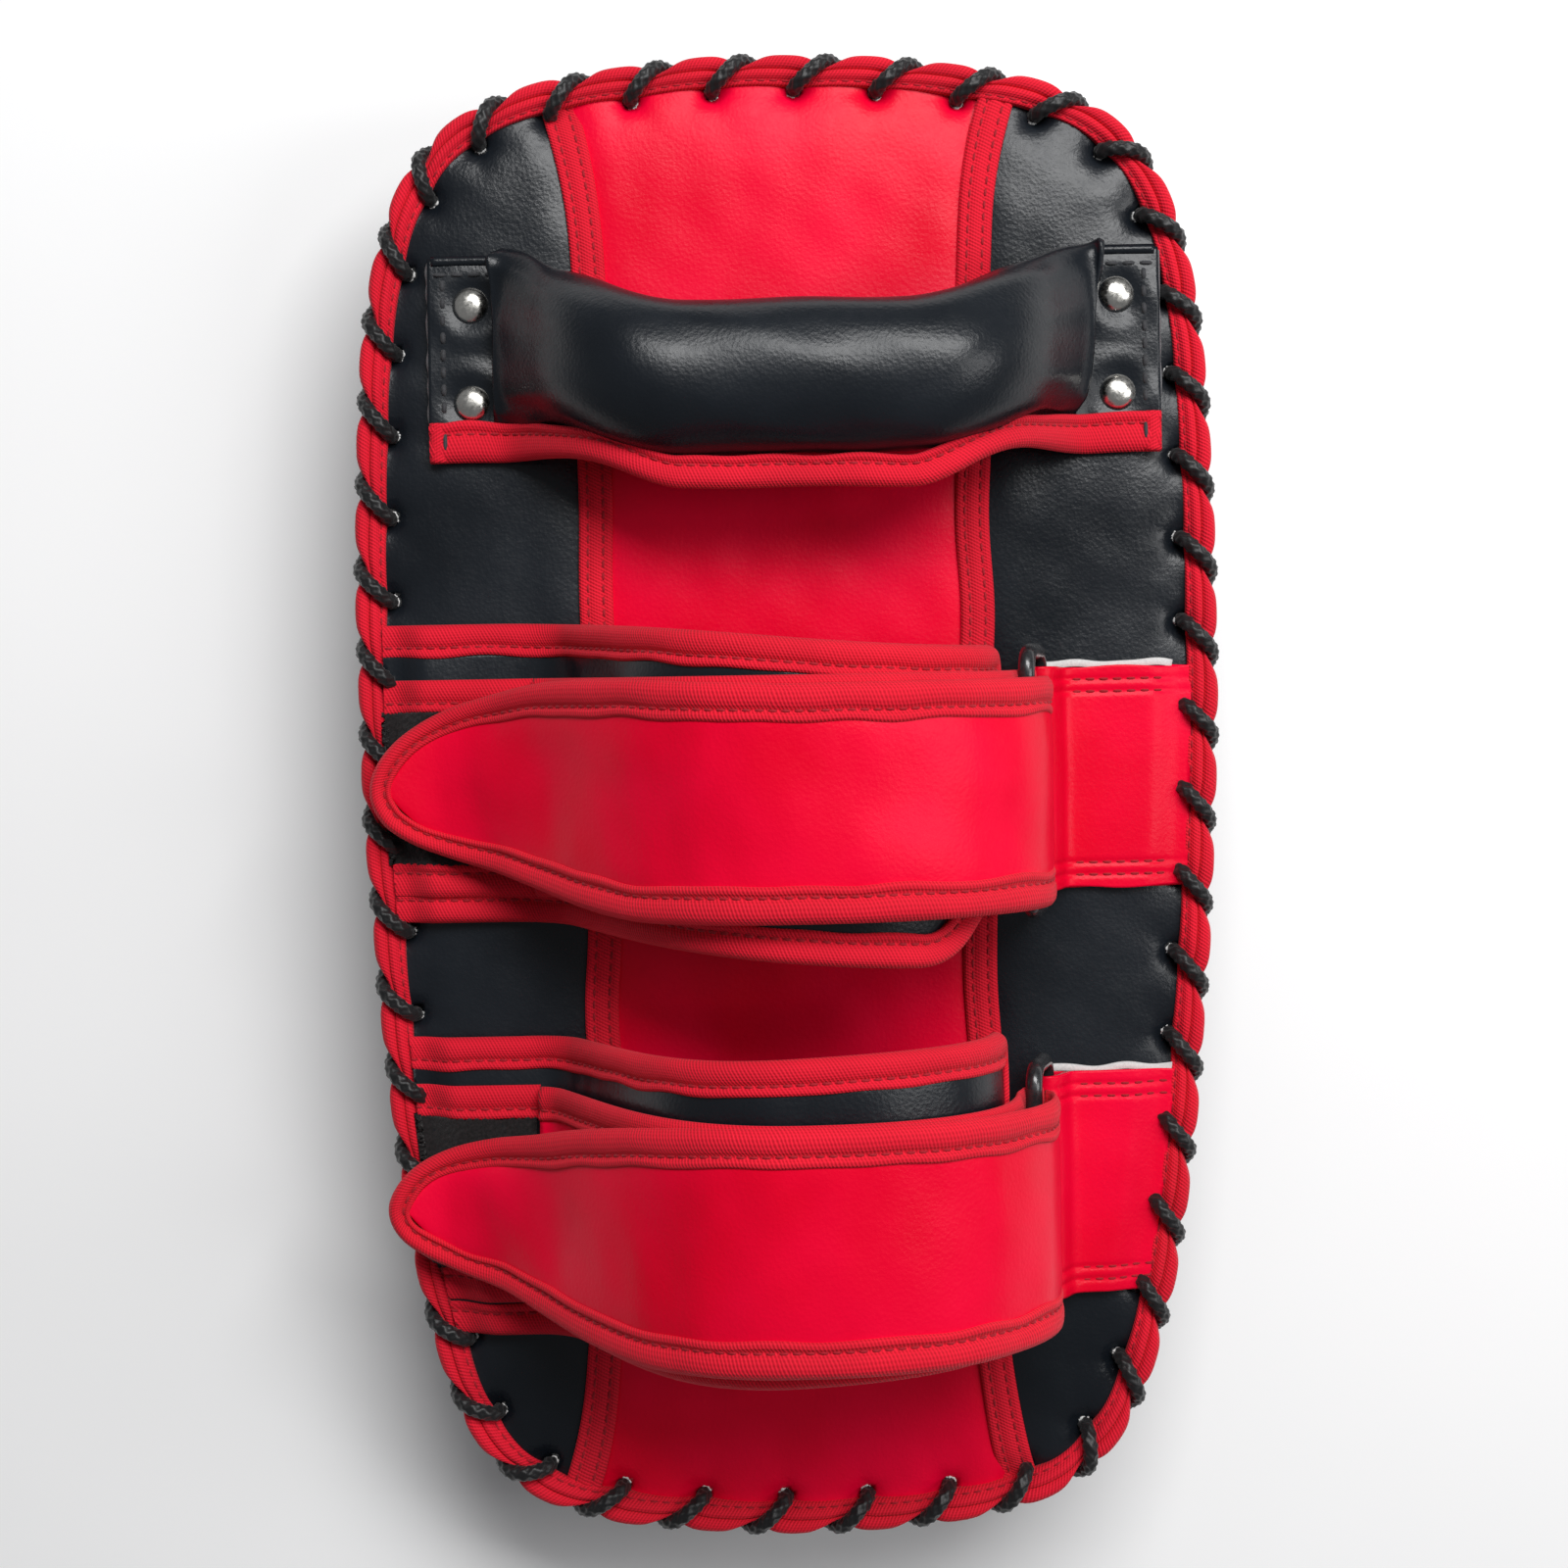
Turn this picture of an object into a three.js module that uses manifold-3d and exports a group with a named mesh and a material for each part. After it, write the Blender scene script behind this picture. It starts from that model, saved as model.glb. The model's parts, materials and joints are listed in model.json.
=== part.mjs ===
// Thai pad: a laced leatherette kick pad with a padded grip and two forearm straps.
// Millimetres, +Z up. The pad lies on its striking face: X runs across the pad, +Y towards the
// grip end, and +Z out of the rear face, where the grip and the straps are. The origin is the
// middle of the striking face.

import * as THREE from "three";
import { mergeVertices } from "three/addons/utils/BufferGeometryUtils.js";
import Module from "manifold-3d";

const wasm = await Module();
wasm.setup();

// ---------------------------------------------------------------- driving dimensions

const FIT = 0.3; // gap between pieces that touch

// Pad body
const HALF_WIDTH = 101.5; // at the widest line
const HALF_LENGTH = 177.5;
const WIDEST_Y = 47; // the pad is widest here and narrows towards the elbow end
const SIDE_BOW = 4.3e-4; // how fast the sides curve in, mm per mm squared
const END_BOW = 1.6e-3; // how fast the ends curve down, mm per mm squared
const CORNER_SHARPNESS = 8;
const OUTLINE_POINTS = 48;
const REAR = 52; // height of the rear face above the striking face
const SKIN = 2; // leatherette panel thickness
const STRIKE_SKIN = 2.4;
const SEAM_X = 46.5; // centre line of the two seams that divide the faces
const SEAM_FLARE = 7.5;
const SEAM_TAPE = 7.2;
const SEAM_TAPE_THICK = 1.6;

// Edge: a bound gusset edge and a bound rear edge side by side, whipped together with a lace
const PANEL_EDGE = 5.1; // inset of the rear panels' cut edge
const WALL_OUT = 1.4; // inset of the gusset's outer face
const WALL_IN = 2.6;
const WALL_TOP = REAR - 1;
const TAPE = 0.8; // thickness of the edge tapes
const REAR_BINDING_IN = 8.2; // inset of the rear binding's inner edge
const LACE_STITCHES = 48;
const LACE_RADIUS = 1.8;
const LACE_HOLE_RADIUS = 2.6;
const LACE_HOLE_INSET = 11.2;
const LACE_HOLE_HEIGHT = 38; // of the holes in the gusset
const CLEAR_OF_LACE = 14.2; // inset at which pieces on the rear face stop

// Grip
const GRIP_Y = 108.5; // centre of the grip's end tabs
const TAB_END_X = 88;
const TAB_INNER_X = 73.5;
const TAB_HALF_WIDTH = 24;
const GRIP_END_X = 67;
const GRIP_HEIGHT = 31; // of the grip's centre line above the rear face
const GRIP_SAG = 13; // how far the grip's middle hangs towards the wrist
const GRIP_STRAP_THICK = 2.4;
const SLEEVE_WALL = 1.4;
const RIVET_X = 79;
const RIVET_Y = [97, 121];
const RIVET_HEAD_RADIUS = 4.2;
const RIVET_SHANK_RADIUS = 1.6;

// Straps. Each set is a wide wrap strap under a narrower strap that turns round a ring.
const WRAP = { halfWidth: 36.5, half: 1.5, proud: 1.0, tape: 7 };
const PULL = { halfWidth: 26.5, half: 1.1, proud: 0.8, tape: 6.5 };
const ARCH_SIDE_X = 47.5; // centre line of the wrap strap's right-hand end
const WRAP_FLAT = FIT + WRAP.proud + WRAP.half; // its centre line where it lies on the rear face
const TO_PULL = WRAP.half + WRAP.proud + 0.4 + PULL.proud + PULL.half; // from the wrap's centre line to the pull strap's
const TO_FLAP = TO_PULL + 2 * (PULL.half + PULL.proud) + 0.4; // and to the flap's
const WIRE = 2; // radius of the ring's wire
const FOLD = WIRE + FIT + PULL.proud + PULL.half; // radius of the flap's centre line round the bar
const RING_SLOT = 57.5;
const LOWER_BAR = [61.2, 5.6]; // x and height above the rear face
const UPPER_BAR = [ARCH_SIDE_X + TO_PULL + FOLD, 23];
const ANCHOR_HALF_WIDTH = 27;
const ANCHOR_THICK = 2.4;
const LOOP_END_X = -62; // where the loop panel stops and the pull strap is sewn down
const ARCH_START_X = -100; // past the place where the edge cuts the wrap strap off
const STRAPS = [
  { name: "upper", y: 3, crest: 56, tip: [-102, 5], shoulder: 20 },
  { name: "lower", y: -96, crest: 60, tip: [-99, -1.5], shoulder: 13 },
];

// ---------------------------------------------------------------- materials

const skin = (color) => new THREE.MeshStandardMaterial({ color, roughness: 0.45, metalness: 0 });
const cloth = (color) => new THREE.MeshStandardMaterial({ color, roughness: 0.85, metalness: 0 });
const metal = (color) => new THREE.MeshStandardMaterial({ color, roughness: 0.2, metalness: 1 });
const MATERIALS = {
  blackSkin: skin(0x17191c),
  redSkin: skin(0xd8082c),
  redTape: cloth(0xc8142c),
  lace: cloth(0x101010),
  foam: cloth(0x3a3a3e),
  fastener: cloth(0x0c0c0d),
  nickel: metal(0xc9c6be),
  blackMetal: metal(0x202226),
};

// ---------------------------------------------------------------- helpers

const pad = new THREE.Group();

function add(name, shape, material) {
  const geometry = shape.isBufferGeometry ? shape : geometryOf(shape);
  const mesh = new THREE.Mesh(geometry, MATERIALS[material]);
  mesh.name = name;
  pad.add(mesh);
  return mesh;
}

function solidOf(geometry) {
  const bare = geometry.clone();
  bare.deleteAttribute("normal");
  bare.deleteAttribute("uv");
  const merged = mergeVertices(bare, 1e-4);
  return new wasm.Manifold(
    new wasm.Mesh({
      numProp: 3,
      vertProperties: merged.attributes.position.array,
      triVerts: new Uint32Array(merged.index.array),
    }),
  );
}

function geometryOf(solid) {
  const mesh = solid.getMesh();
  const geometry = new THREE.BufferGeometry();
  geometry.setAttribute("position", new THREE.BufferAttribute(mesh.vertProperties, 3));
  geometry.setIndex(new THREE.BufferAttribute(mesh.triVerts, 1));
  return geometry;
}

function signedVolume(points, triangles) {
  let volume = 0;
  for (let i = 0; i < triangles.length; i += 3) {
    const [a, b, c] = [points[triangles[i]], points[triangles[i + 1]], points[triangles[i + 2]]];
    volume += a.dot(b.clone().cross(c)) / 6;
  }
  return volume;
}

// Skins a row of closed loops that all have the same number of points. The last loop joins the
// first if closed is true; otherwise the two end loops get flat caps.
function loft(loops, closed = false) {
  const size = loops[0].length;
  const points = loops.flat();
  const triangles = [];
  const rows = closed ? loops.length : loops.length - 1;
  for (let i = 0; i < rows; i++) {
    const [here, next] = [i * size, ((i + 1) % loops.length) * size];
    for (let j = 0; j < size; j++) {
      const k = (j + 1) % size;
      triangles.push(here + j, here + k, next + k, here + j, next + k, next + j);
    }
  }
  if (!closed) {
    const last = (loops.length - 1) * size;
    for (let j = 1; j < size - 1; j++) {
      triangles.push(0, j + 1, j);
      triangles.push(last, last + j, last + j + 1);
    }
  }
  if (signedVolume(points, triangles) < 0) triangles.reverse();
  const geometry = new THREE.BufferGeometry().setFromPoints(points);
  return geometry.setIndex(triangles);
}

// A round bar through points. side(i) is a direction across the bar at point i.
function bar(points, radius, sides, side, closed) {
  const loops = points.map((point, i) => {
    const before = points[closed ? (i + points.length - 1) % points.length : Math.max(i - 1, 0)];
    const after = points[closed ? (i + 1) % points.length : Math.min(i + 1, points.length - 1)];
    const along = after.clone().sub(before).normalize();
    const across = side(i).clone().addScaledVector(along, -along.dot(side(i))).normalize();
    const other = along.clone().cross(across);
    return Array.from({ length: sides }, (_, k) => {
      const angle = (2 * Math.PI * k) / sides;
      return point
        .clone()
        .addScaledVector(across, radius * Math.cos(angle))
        .addScaledVector(other, radius * Math.sin(angle));
    });
  });
  return loft(loops, closed);
}

// A prism over a plan shape, from height low to height high.
function prism(shape, low, high) {
  const geometry = new THREE.ExtrudeGeometry(shape, {
    depth: high - low,
    bevelEnabled: false,
    curveSegments: 8,
  });
  return geometry.translate(0, 0, low);
}

// The same for a shape drawn in X and Z, centred on y, width wide.
function acrossPad(shape, y, width) {
  const geometry = new THREE.ExtrudeGeometry(shape, {
    depth: width,
    bevelEnabled: false,
    curveSegments: 8,
  });
  return geometry.rotateX(Math.PI / 2).translate(0, y + width / 2, 0);
}

const box = (x0, x1, y0, y1, z0, z1) =>
  new THREE.BoxGeometry(x1 - x0, y1 - y0, z1 - z0).translate(
    (x0 + x1) / 2,
    (y0 + y1) / 2,
    (z0 + z1) / 2,
  );

const ease = (low, high, x) => THREE.MathUtils.smoothstep(x, low, high);

// ---------------------------------------------------------------- outline

const halfWidthAt = (y) => HALF_WIDTH - SIDE_BOW * (y - WIDEST_Y) ** 2;
const halfLengthAt = (x) => HALF_LENGTH - END_BOW * x * x;

// The point of the outline at a polar angle: shallow bows for sides and ends, rounded together.
function outlineAt(angle) {
  const [dx, dy] = [Math.cos(angle), Math.sin(angle)];
  let [low, high] = [50, 260];
  for (let i = 0; i < 40; i++) {
    const r = (low + high) / 2;
    const [x, y] = [r * dx, r * dy];
    const reach =
      Math.abs(x / halfWidthAt(y)) ** CORNER_SHARPNESS +
      Math.abs(y / halfLengthAt(x)) ** CORNER_SHARPNESS;
    if (reach < 1) low = r;
    else high = r;
  }
  return new THREE.Vector2(low * dx, low * dy);
}

// Fine samples of the outline: place, outward normal, length so far and a weight that gives
// corners more points.
const FINE = 1440;
const fine = Array.from({ length: FINE }, (_, i) => ({
  at: outlineAt((2 * Math.PI * i) / FINE),
}));
fine.forEach((sample, i) => {
  const next = fine[(i + 1) % FINE].at;
  const before = fine[(i + FINE - 1) % FINE].at;
  const along = next.clone().sub(before).normalize();
  sample.normal = new THREE.Vector2(along.y, -along.x);
});
let outlineLength = 0;
let outlineWeight = 0;
fine.forEach((sample, i) => {
  const next = fine[(i + 1) % FINE];
  const step = next.at.distanceTo(sample.at);
  const turn = Math.abs(sample.normal.angleTo(next.normal));
  sample.length = outlineLength;
  sample.weight = outlineWeight;
  outlineLength += step;
  outlineWeight += step + 120 * turn;
});

// The place and normal where the samples' length or weight reaches value.
function outlineBy(key, total, value) {
  const wanted = ((value % total) + total) % total;
  let i = fine.findIndex((sample) => sample[key] > wanted) - 1;
  if (i < 0) i = FINE - 1;
  const [a, b] = [fine[i], fine[(i + 1) % FINE]];
  const end = i === FINE - 1 ? total : b[key];
  const share = (wanted - a[key]) / (end - a[key]);
  return {
    at: a.at.clone().lerp(b.at, share),
    normal: a.normal.clone().lerp(b.normal, share).normalize(),
  };
}

const outline = Array.from({ length: OUTLINE_POINTS }, (_, i) =>
  outlineBy("weight", outlineWeight, (outlineWeight * i) / OUTLINE_POINTS),
);

// The outline moved in by inset, at height z.
const loop = (inset, z) =>
  outline.map(({ at, normal }) => {
    const p = at.clone().addScaledVector(normal, -inset);
    return new THREE.Vector3(p.x, p.y, z);
  });

const slab = (...profile) => loft(profile.map(([inset, z]) => loop(inset, z)));
const hoop = (...profile) => loft(profile.map(([inset, z]) => loop(inset, z)), true);

// Everything above the rear face and inside the row of lace holes.
const clearOfLace = () => solidOf(slab([CLEAR_OF_LACE, REAR - 5], [CLEAR_OF_LACE, REAR + 100]));

// ---------------------------------------------------------------- seams between panels

const seamXAt = (y) => SEAM_X + SEAM_FLARE * Math.abs(y / 170) ** 8;

function seamStrip(side, inner, outer) {
  const ys = Array.from({ length: 15 }, (_, i) => -182 + 26 * i);
  const edge = (offset) => ys.map((y) => new THREE.Vector2(side * (seamXAt(y) + offset), y));
  return new THREE.Shape([...edge(inner), ...edge(outer).reverse()]);
}

const beyond = 80; // further than the pad reaches past the seam
const sidePrism = (side, gap) => solidOf(prism(seamStrip(side, gap, beyond), -1, REAR + 20));

// Splits a slab at the two seams and adds its three panels.
function addPanels(prefix, whole, holes) {
  const cut = holes ? whole.subtract(holes) : whole;
  add(`${prefix}_panel_left`, cut.intersect(sidePrism(-1, FIT / 2)), "blackSkin");
  add(`${prefix}_panel_right`, cut.intersect(sidePrism(1, FIT / 2)), "blackSkin");
  const centre = cut.subtract(sidePrism(-1, -FIT / 2)).subtract(sidePrism(1, -FIT / 2));
  add(`${prefix}_panel_centre`, centre, "redSkin");
}

// ---------------------------------------------------------------- lace and its holes

// One whip stitch: inset, height and how far round the edge each point lies from its hole.
const STITCH = [
  [LACE_HOLE_INSET, REAR - 3.5, 0],
  [LACE_HOLE_INSET, REAR + 1.6, 0],
  [7.6, REAR + 4.6, 3.5],
  [1.8, REAR + 4.2, 9.5],
  [-2.4, REAR + 1, 12.5],
  [-2.3, REAR - 10.8, 16],
  [-0.4, LACE_HOLE_HEIGHT + 0.2, 16.4],
  [6.4, LACE_HOLE_HEIGHT - 0.2, 16.4],
];

const pitch = outlineLength / LACE_STITCHES;

function lacePoint(stitch, [inset, z, forward]) {
  // Stitches lean clockwise as seen from the rear face, so forward runs backwards round the outline.
  const { at, normal } = outlineBy("length", outlineLength, -(stitch * pitch + forward));
  const p = at.clone().addScaledVector(normal, -inset);
  return { at: new THREE.Vector3(p.x, p.y, z), normal };
}

function makeLace() {
  const stations = [];
  for (let i = 0; i < LACE_STITCHES; i++)
    for (const step of STITCH) stations.push(lacePoint(i, step));
  const points = stations.map((station) => station.at);
  const round = (i) => new THREE.Vector3(-stations[i].normal.y, stations[i].normal.x, 0);
  return bar(points, LACE_RADIUS, 5, round, true);
}

function holeAt(stitch, step, vertical) {
  const { at, normal } = lacePoint(stitch, step);
  const hole = new THREE.CylinderGeometry(LACE_HOLE_RADIUS, LACE_HOLE_RADIUS, 6, 6);
  if (vertical) hole.rotateX(Math.PI / 2);
  else hole.rotateZ(Math.PI / 2).rotateZ(Math.atan2(normal.y, normal.x));
  return solidOf(hole.translate(at.x, at.y, at.z));
}

const stitches = Array.from({ length: LACE_STITCHES }, (_, i) => i);
const rearHoles = wasm.Manifold.compose(
  stitches.map((i) => holeAt(i, [LACE_HOLE_INSET, REAR, 0], true)),
);
const wallHoles = wasm.Manifold.compose(
  stitches.map((i) => holeAt(i, [WALL_IN, LACE_HOLE_HEIGHT, 16.4], false)),
);

// ---------------------------------------------------------------- pad body

const PIPING = { inset: 12.2, z: 3.6, radius: 1.8 };
const STRIKE_EDGE = PIPING.inset + PIPING.radius + FIT;

function addBody() {
  addPanels("strike", solidOf(slab([STRIKE_EDGE, 0], [STRIKE_EDGE, STRIKE_SKIN])));
  const around = [0, 1, 2, 3, 4, 5].map((k) => {
    const angle = (Math.PI * k) / 3;
    return [
      PIPING.inset + PIPING.radius * Math.cos(angle),
      PIPING.z + PIPING.radius * Math.sin(angle),
    ];
  });
  add("strike_piping", hoop(...around), "redTape");

  const wall = hoop(
    [9.8, 4.6], [5, 9], [2.2, 18], [WALL_OUT, 30], [WALL_OUT, WALL_TOP],
    [WALL_IN, WALL_TOP], [WALL_IN, 30], [3.4, 19], [6.2, 10.6], [10, 7.2],
  );
  add("side_gusset", solidOf(wall).subtract(wallHoles), "blackSkin");

  add("foam_front", slab([15, STRIKE_SKIN + FIT], [13, 6.2], [7.4, 12], [5.6, 17.2]), "foam");
  add("foam_middle", slab([5, 18.6], [4.8, 33.6]), "foam");
  add("foam_rear", slab([CLEAR_OF_LACE, 34], [CLEAR_OF_LACE, REAR - SKIN - 2]), "foam");

  const rear = solidOf(slab([PANEL_EDGE, REAR - SKIN], [PANEL_EDGE, REAR]));
  addPanels("rear", rear, rearHoles.add(rivetHoles()));
}

function addBindings() {
  const slotOut = WALL_OUT - FIT;
  const slotIn = WALL_IN + FIT;
  const slotTop = WALL_TOP + FIT;
  const low = REAR - 10;
  const gussetTape = hoop(
    [slotOut - TAPE, low], [slotOut - TAPE, REAR + 0.4], [slotIn + TAPE, REAR + 0.4],
    [slotIn + TAPE, low], [slotIn, low], [slotIn, slotTop], [slotOut, slotTop], [slotOut, low],
  );
  add("gusset_binding", gussetTape, "redTape");

  const edge = PANEL_EDGE - FIT;
  const above = REAR + FIT;
  const under = REAR - SKIN - FIT;
  const rearTape = hoop(
    [edge - TAPE, under - TAPE], [edge - TAPE, REAR + 1.3], [REAR_BINDING_IN - 1.5, REAR + 1.5],
    [REAR_BINDING_IN, REAR + 0.7], [REAR_BINDING_IN, above],
    [edge, above], [edge, under], [REAR_BINDING_IN, under], [REAR_BINDING_IN, under - TAPE],
  );
  add("rear_binding", rearTape, "redTape");

  const inside = clearOfLace();
  for (const [side, name] of [[-1, "left"], [1, "right"]]) {
    const strip = seamStrip(side, -SEAM_TAPE / 2, SEAM_TAPE / 2);
    const tape = solidOf(prism(strip, REAR + FIT, REAR + FIT + SEAM_TAPE_THICK));
    add(`seam_binding_${name}`, tape.intersect(inside), "redTape");
  }
  add("edge_lace", makeLace(), "lace");
}

// ---------------------------------------------------------------- grip

const gripLine = new THREE.Path();
const tabHeight = FIT + GRIP_STRAP_THICK / 2;
gripLine.moveTo(-TAB_END_X, tabHeight);
gripLine.lineTo(-TAB_INNER_X, tabHeight);
gripLine.bezierCurveTo(-61, tabHeight, -56, GRIP_HEIGHT, -28, GRIP_HEIGHT);
gripLine.lineTo(28, GRIP_HEIGHT);
gripLine.bezierCurveTo(56, GRIP_HEIGHT, 61, tabHeight, TAB_INNER_X, tabHeight);
gripLine.lineTo(TAB_END_X, tabHeight);

// How far a place on the grip has come from its flat tab (0) to its round middle (1).
const roundness = (x) => 1 - ease(34, GRIP_END_X, Math.abs(x));

// Sections of the grip along its centre line. across(x) gives the section's points as
// [y, height above the centre line].
function gripSections(shares, across) {
  return shares.map((share) => {
    const p = gripLine.getPointAt(share);
    const along = gripLine.getTangentAt(share);
    return across(p.x).map(
      ([y, up]) => new THREE.Vector3(p.x - along.y * up, y, REAR + p.y + along.x * up),
    );
  });
}

function shareAtX(x) {
  let [low, high] = [0, 1];
  for (let i = 0; i < 40; i++) {
    const middle = (low + high) / 2;
    if (gripLine.getPointAt(middle).x < x) low = middle;
    else high = middle;
  }
  return low;
}

const sharesBetween = (x0, x1, steps) => {
  const [from, to] = [shareAtX(x0), shareAtX(x1)];
  return Array.from({ length: steps + 1 }, (_, i) => from + ((to - from) * i) / steps);
};

const sleeveY = (x) => GRIP_Y + 3.5 - GRIP_SAG * roundness(x);

function oval(x, wall, sides) {
  const round = roundness(x);
  const halfY = THREE.MathUtils.lerp(20.5, 19.5, round) - wall;
  const halfZ = THREE.MathUtils.lerp(4, 15, round) - wall;
  return Array.from({ length: sides }, (_, k) => {
    const angle = (2 * Math.PI * k) / sides;
    return [sleeveY(x) + halfY * Math.cos(angle), halfZ * Math.sin(angle)];
  });
}

function gripStrap(grow) {
  const shares = [0, ...sharesBetween(-TAB_INNER_X, TAB_INNER_X, 20), 1];
  const half = GRIP_STRAP_THICK / 2 + grow;
  const across = (x) => {
    const tuck = 1 - ease(GRIP_END_X + 2, TAB_INNER_X, Math.abs(x));
    const halfY = THREE.MathUtils.lerp(TAB_HALF_WIDTH, 12, tuck) + grow;
    const y = THREE.MathUtils.lerp(GRIP_Y, sleeveY(x), tuck);
    return [[y - halfY, -half], [y + halfY, -half], [y + halfY, half], [y - halfY, half]];
  };
  return solidOf(loft(gripSections(shares, across)));
}

const rivetPlaces = [-1, 1].flatMap((side) => RIVET_Y.map((y) => [side * RIVET_X, y]));

function rivetHoles() {
  const hole = new THREE.CylinderGeometry(
    RIVET_SHANK_RADIUS + FIT, RIVET_SHANK_RADIUS + FIT, 12, 10,
  ).rotateX(Math.PI / 2);
  return wasm.Manifold.compose(rivetPlaces.map(([x, y]) => solidOf(hole.clone().translate(x, y, REAR))));
}

function rivet() {
  const shankTop = tabHeight + GRIP_STRAP_THICK / 2 + FIT;
  const head = RIVET_HEAD_RADIUS;
  const profile = [
    [0, -SKIN - 1.6], [3.4, -SKIN - 1.6], [3.4, -SKIN - FIT], [RIVET_SHANK_RADIUS, -SKIN - FIT],
    [RIVET_SHANK_RADIUS, shankTop], [head, shankTop], [head * 0.9, shankTop + 1.1],
    [head * 0.55, shankTop + 1.9], [0, shankTop + 2.2],
  ].map(([x, y]) => new THREE.Vector2(x, y));
  return new THREE.LatheGeometry(profile, 12).rotateX(Math.PI / 2);
}

function addGrip() {
  const inside = clearOfLace();
  add("grip_strap", gripStrap(0).subtract(rivetHoles()).intersect(inside), "blackSkin");

  const sleeveShares = sharesBetween(-GRIP_END_X, GRIP_END_X, 18);
  const coreShares = sleeveShares.slice(3, -3);
  const core = solidOf(loft(gripSections(coreShares, (x) => oval(x, SLEEVE_WALL + 1.2, 12))));
  add("grip_core", core.subtract(gripStrap(FIT)), "foam");

  const outer = gripSections(sleeveShares, (x) => oval(x, 0, 12));
  const inner = gripSections(sleeveShares, (x) => oval(x, SLEEVE_WALL, 12));
  add("grip_sleeve", loft([...outer, ...inner.reverse()], true), "blackSkin");

  const tapeShares = [0, ...sharesBetween(-TAB_INNER_X, TAB_INNER_X, 20), 1];
  const tape = gripSections(tapeShares, (x) => {
    const tuck = 1 - ease(GRIP_END_X, TAB_INNER_X, Math.abs(x));
    const round = roundness(x);
    const top = THREE.MathUtils.lerp(GRIP_Y - TAB_HALF_WIDTH + 6, sleeveY(x) - 21, tuck);
    const bottom = top - THREE.MathUtils.lerp(9, 7.5, round);
    const lift = 1.1 * tuck;
    return [[bottom, -1.1 + lift], [top, -1.1 + lift], [top, 2.2 + lift], [bottom, 2.2 + lift]];
  });
  add("grip_binding", solidOf(loft(tape)).subtract(gripStrap(FIT)).intersect(inside), "redTape");

  rivetPlaces.forEach(([x, y], i) => {
    add(`rivet_${i + 1}`, rivet(), "nickel").position.set(x, y, REAR);
  });
}

// ---------------------------------------------------------------- straps

// The wrap strap's centre line in X and height above the rear face, from the left edge over the
// forearm to the ring.
function archLine(crest, startX) {
  const bend = 14;
  const lean = THREE.MathUtils.degToRad(75);
  const line = new THREE.Path();
  const foot = -58;
  line.moveTo(startX, WRAP_FLAT);
  line.lineTo(foot, WRAP_FLAT);
  line.absarc(foot, WRAP_FLAT + bend, bend, -Math.PI / 2, lean - Math.PI / 2, false);
  const [x, z] = [foot + bend * Math.sin(lean), WRAP_FLAT + bend * (1 - Math.cos(lean))];
  const rise = 0.45 * crest;
  line.bezierCurveTo(
    x + rise * Math.cos(lean), z + rise * Math.sin(lean), -27, crest, 0, crest,
  );
  line.bezierCurveTo(26, crest, ARCH_SIDE_X, crest * 0.82, ARCH_SIDE_X, 25);
  return line;
}

// Shares of a path's length at which to put points: flat runs need none between their ends.
function stops(line) {
  const steps = { LineCurve: 1, EllipseCurve: 4, CubicBezierCurve: 6 };
  const lengths = line.getCurveLengths();
  const total = lengths.at(-1);
  const shares = [0];
  line.curves.forEach((curve, i) => {
    const start = i ? lengths[i - 1] : 0;
    const count = steps[curve.type];
    for (let k = 1; k <= count; k++)
      shares.push((start + ((lengths[i] - start) * k) / count) / total);
  });
  return shares;
}

// Points and normals down part of a line, moved out by offset(share of the way along).
function offsetLine(line, offset, from = 0, to = 1) {
  const between = stops(line).filter((share) => share > from + 1e-3 && share < to - 1e-3);
  return [from, ...between, to].map((share) => {
    const p = line.getPointAt(share);
    const t = line.getTangentAt(share);
    const normal = new THREE.Vector2(-t.y, t.x);
    return { at: p.addScaledVector(normal, offset(share)), normal };
  });
}

// Gives a line of points a thickness, from low to high along its normals.
function bandShape(line, low, high) {
  const side = (distance) =>
    line.map(({ at, normal }) => {
      const p = at.clone().addScaledVector(normal, distance);
      return new THREE.Vector2(p.x, REAR + p.y);
    });
  return new THREE.Shape([...side(low), ...side(high).reverse()]);
}

const band = (line, half, y, halfWidth) =>
  solidOf(acrossPad(bandShape(line, -half, half), y, 2 * halfWidth));

// The flap's plan, drawn inset from its edge: straight sides and a long tip that tapers mostly on
// the elbow side. shoulder says how full the other side of the tip is.
function flapPlan({ y, tip, shoulder }, inset) {
  const half = PULL.halfWidth - inset;
  const [tipX, tipY] = [tip[0] + inset, y + tip[1]];
  const plan = new THREE.Shape();
  plan.moveTo(90, y - half);
  plan.lineTo(90, y + half);
  plan.lineTo(-44, y + half);
  plan.bezierCurveTo(-68, y + half, tipX, tipY + shoulder - inset, tipX, tipY);
  plan.bezierCurveTo(tipX, tipY - 15 + inset, -66, y - half + 3, -36, y - half);
  return solidOf(prism(plan, REAR - 5, REAR + 100));
}

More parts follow.
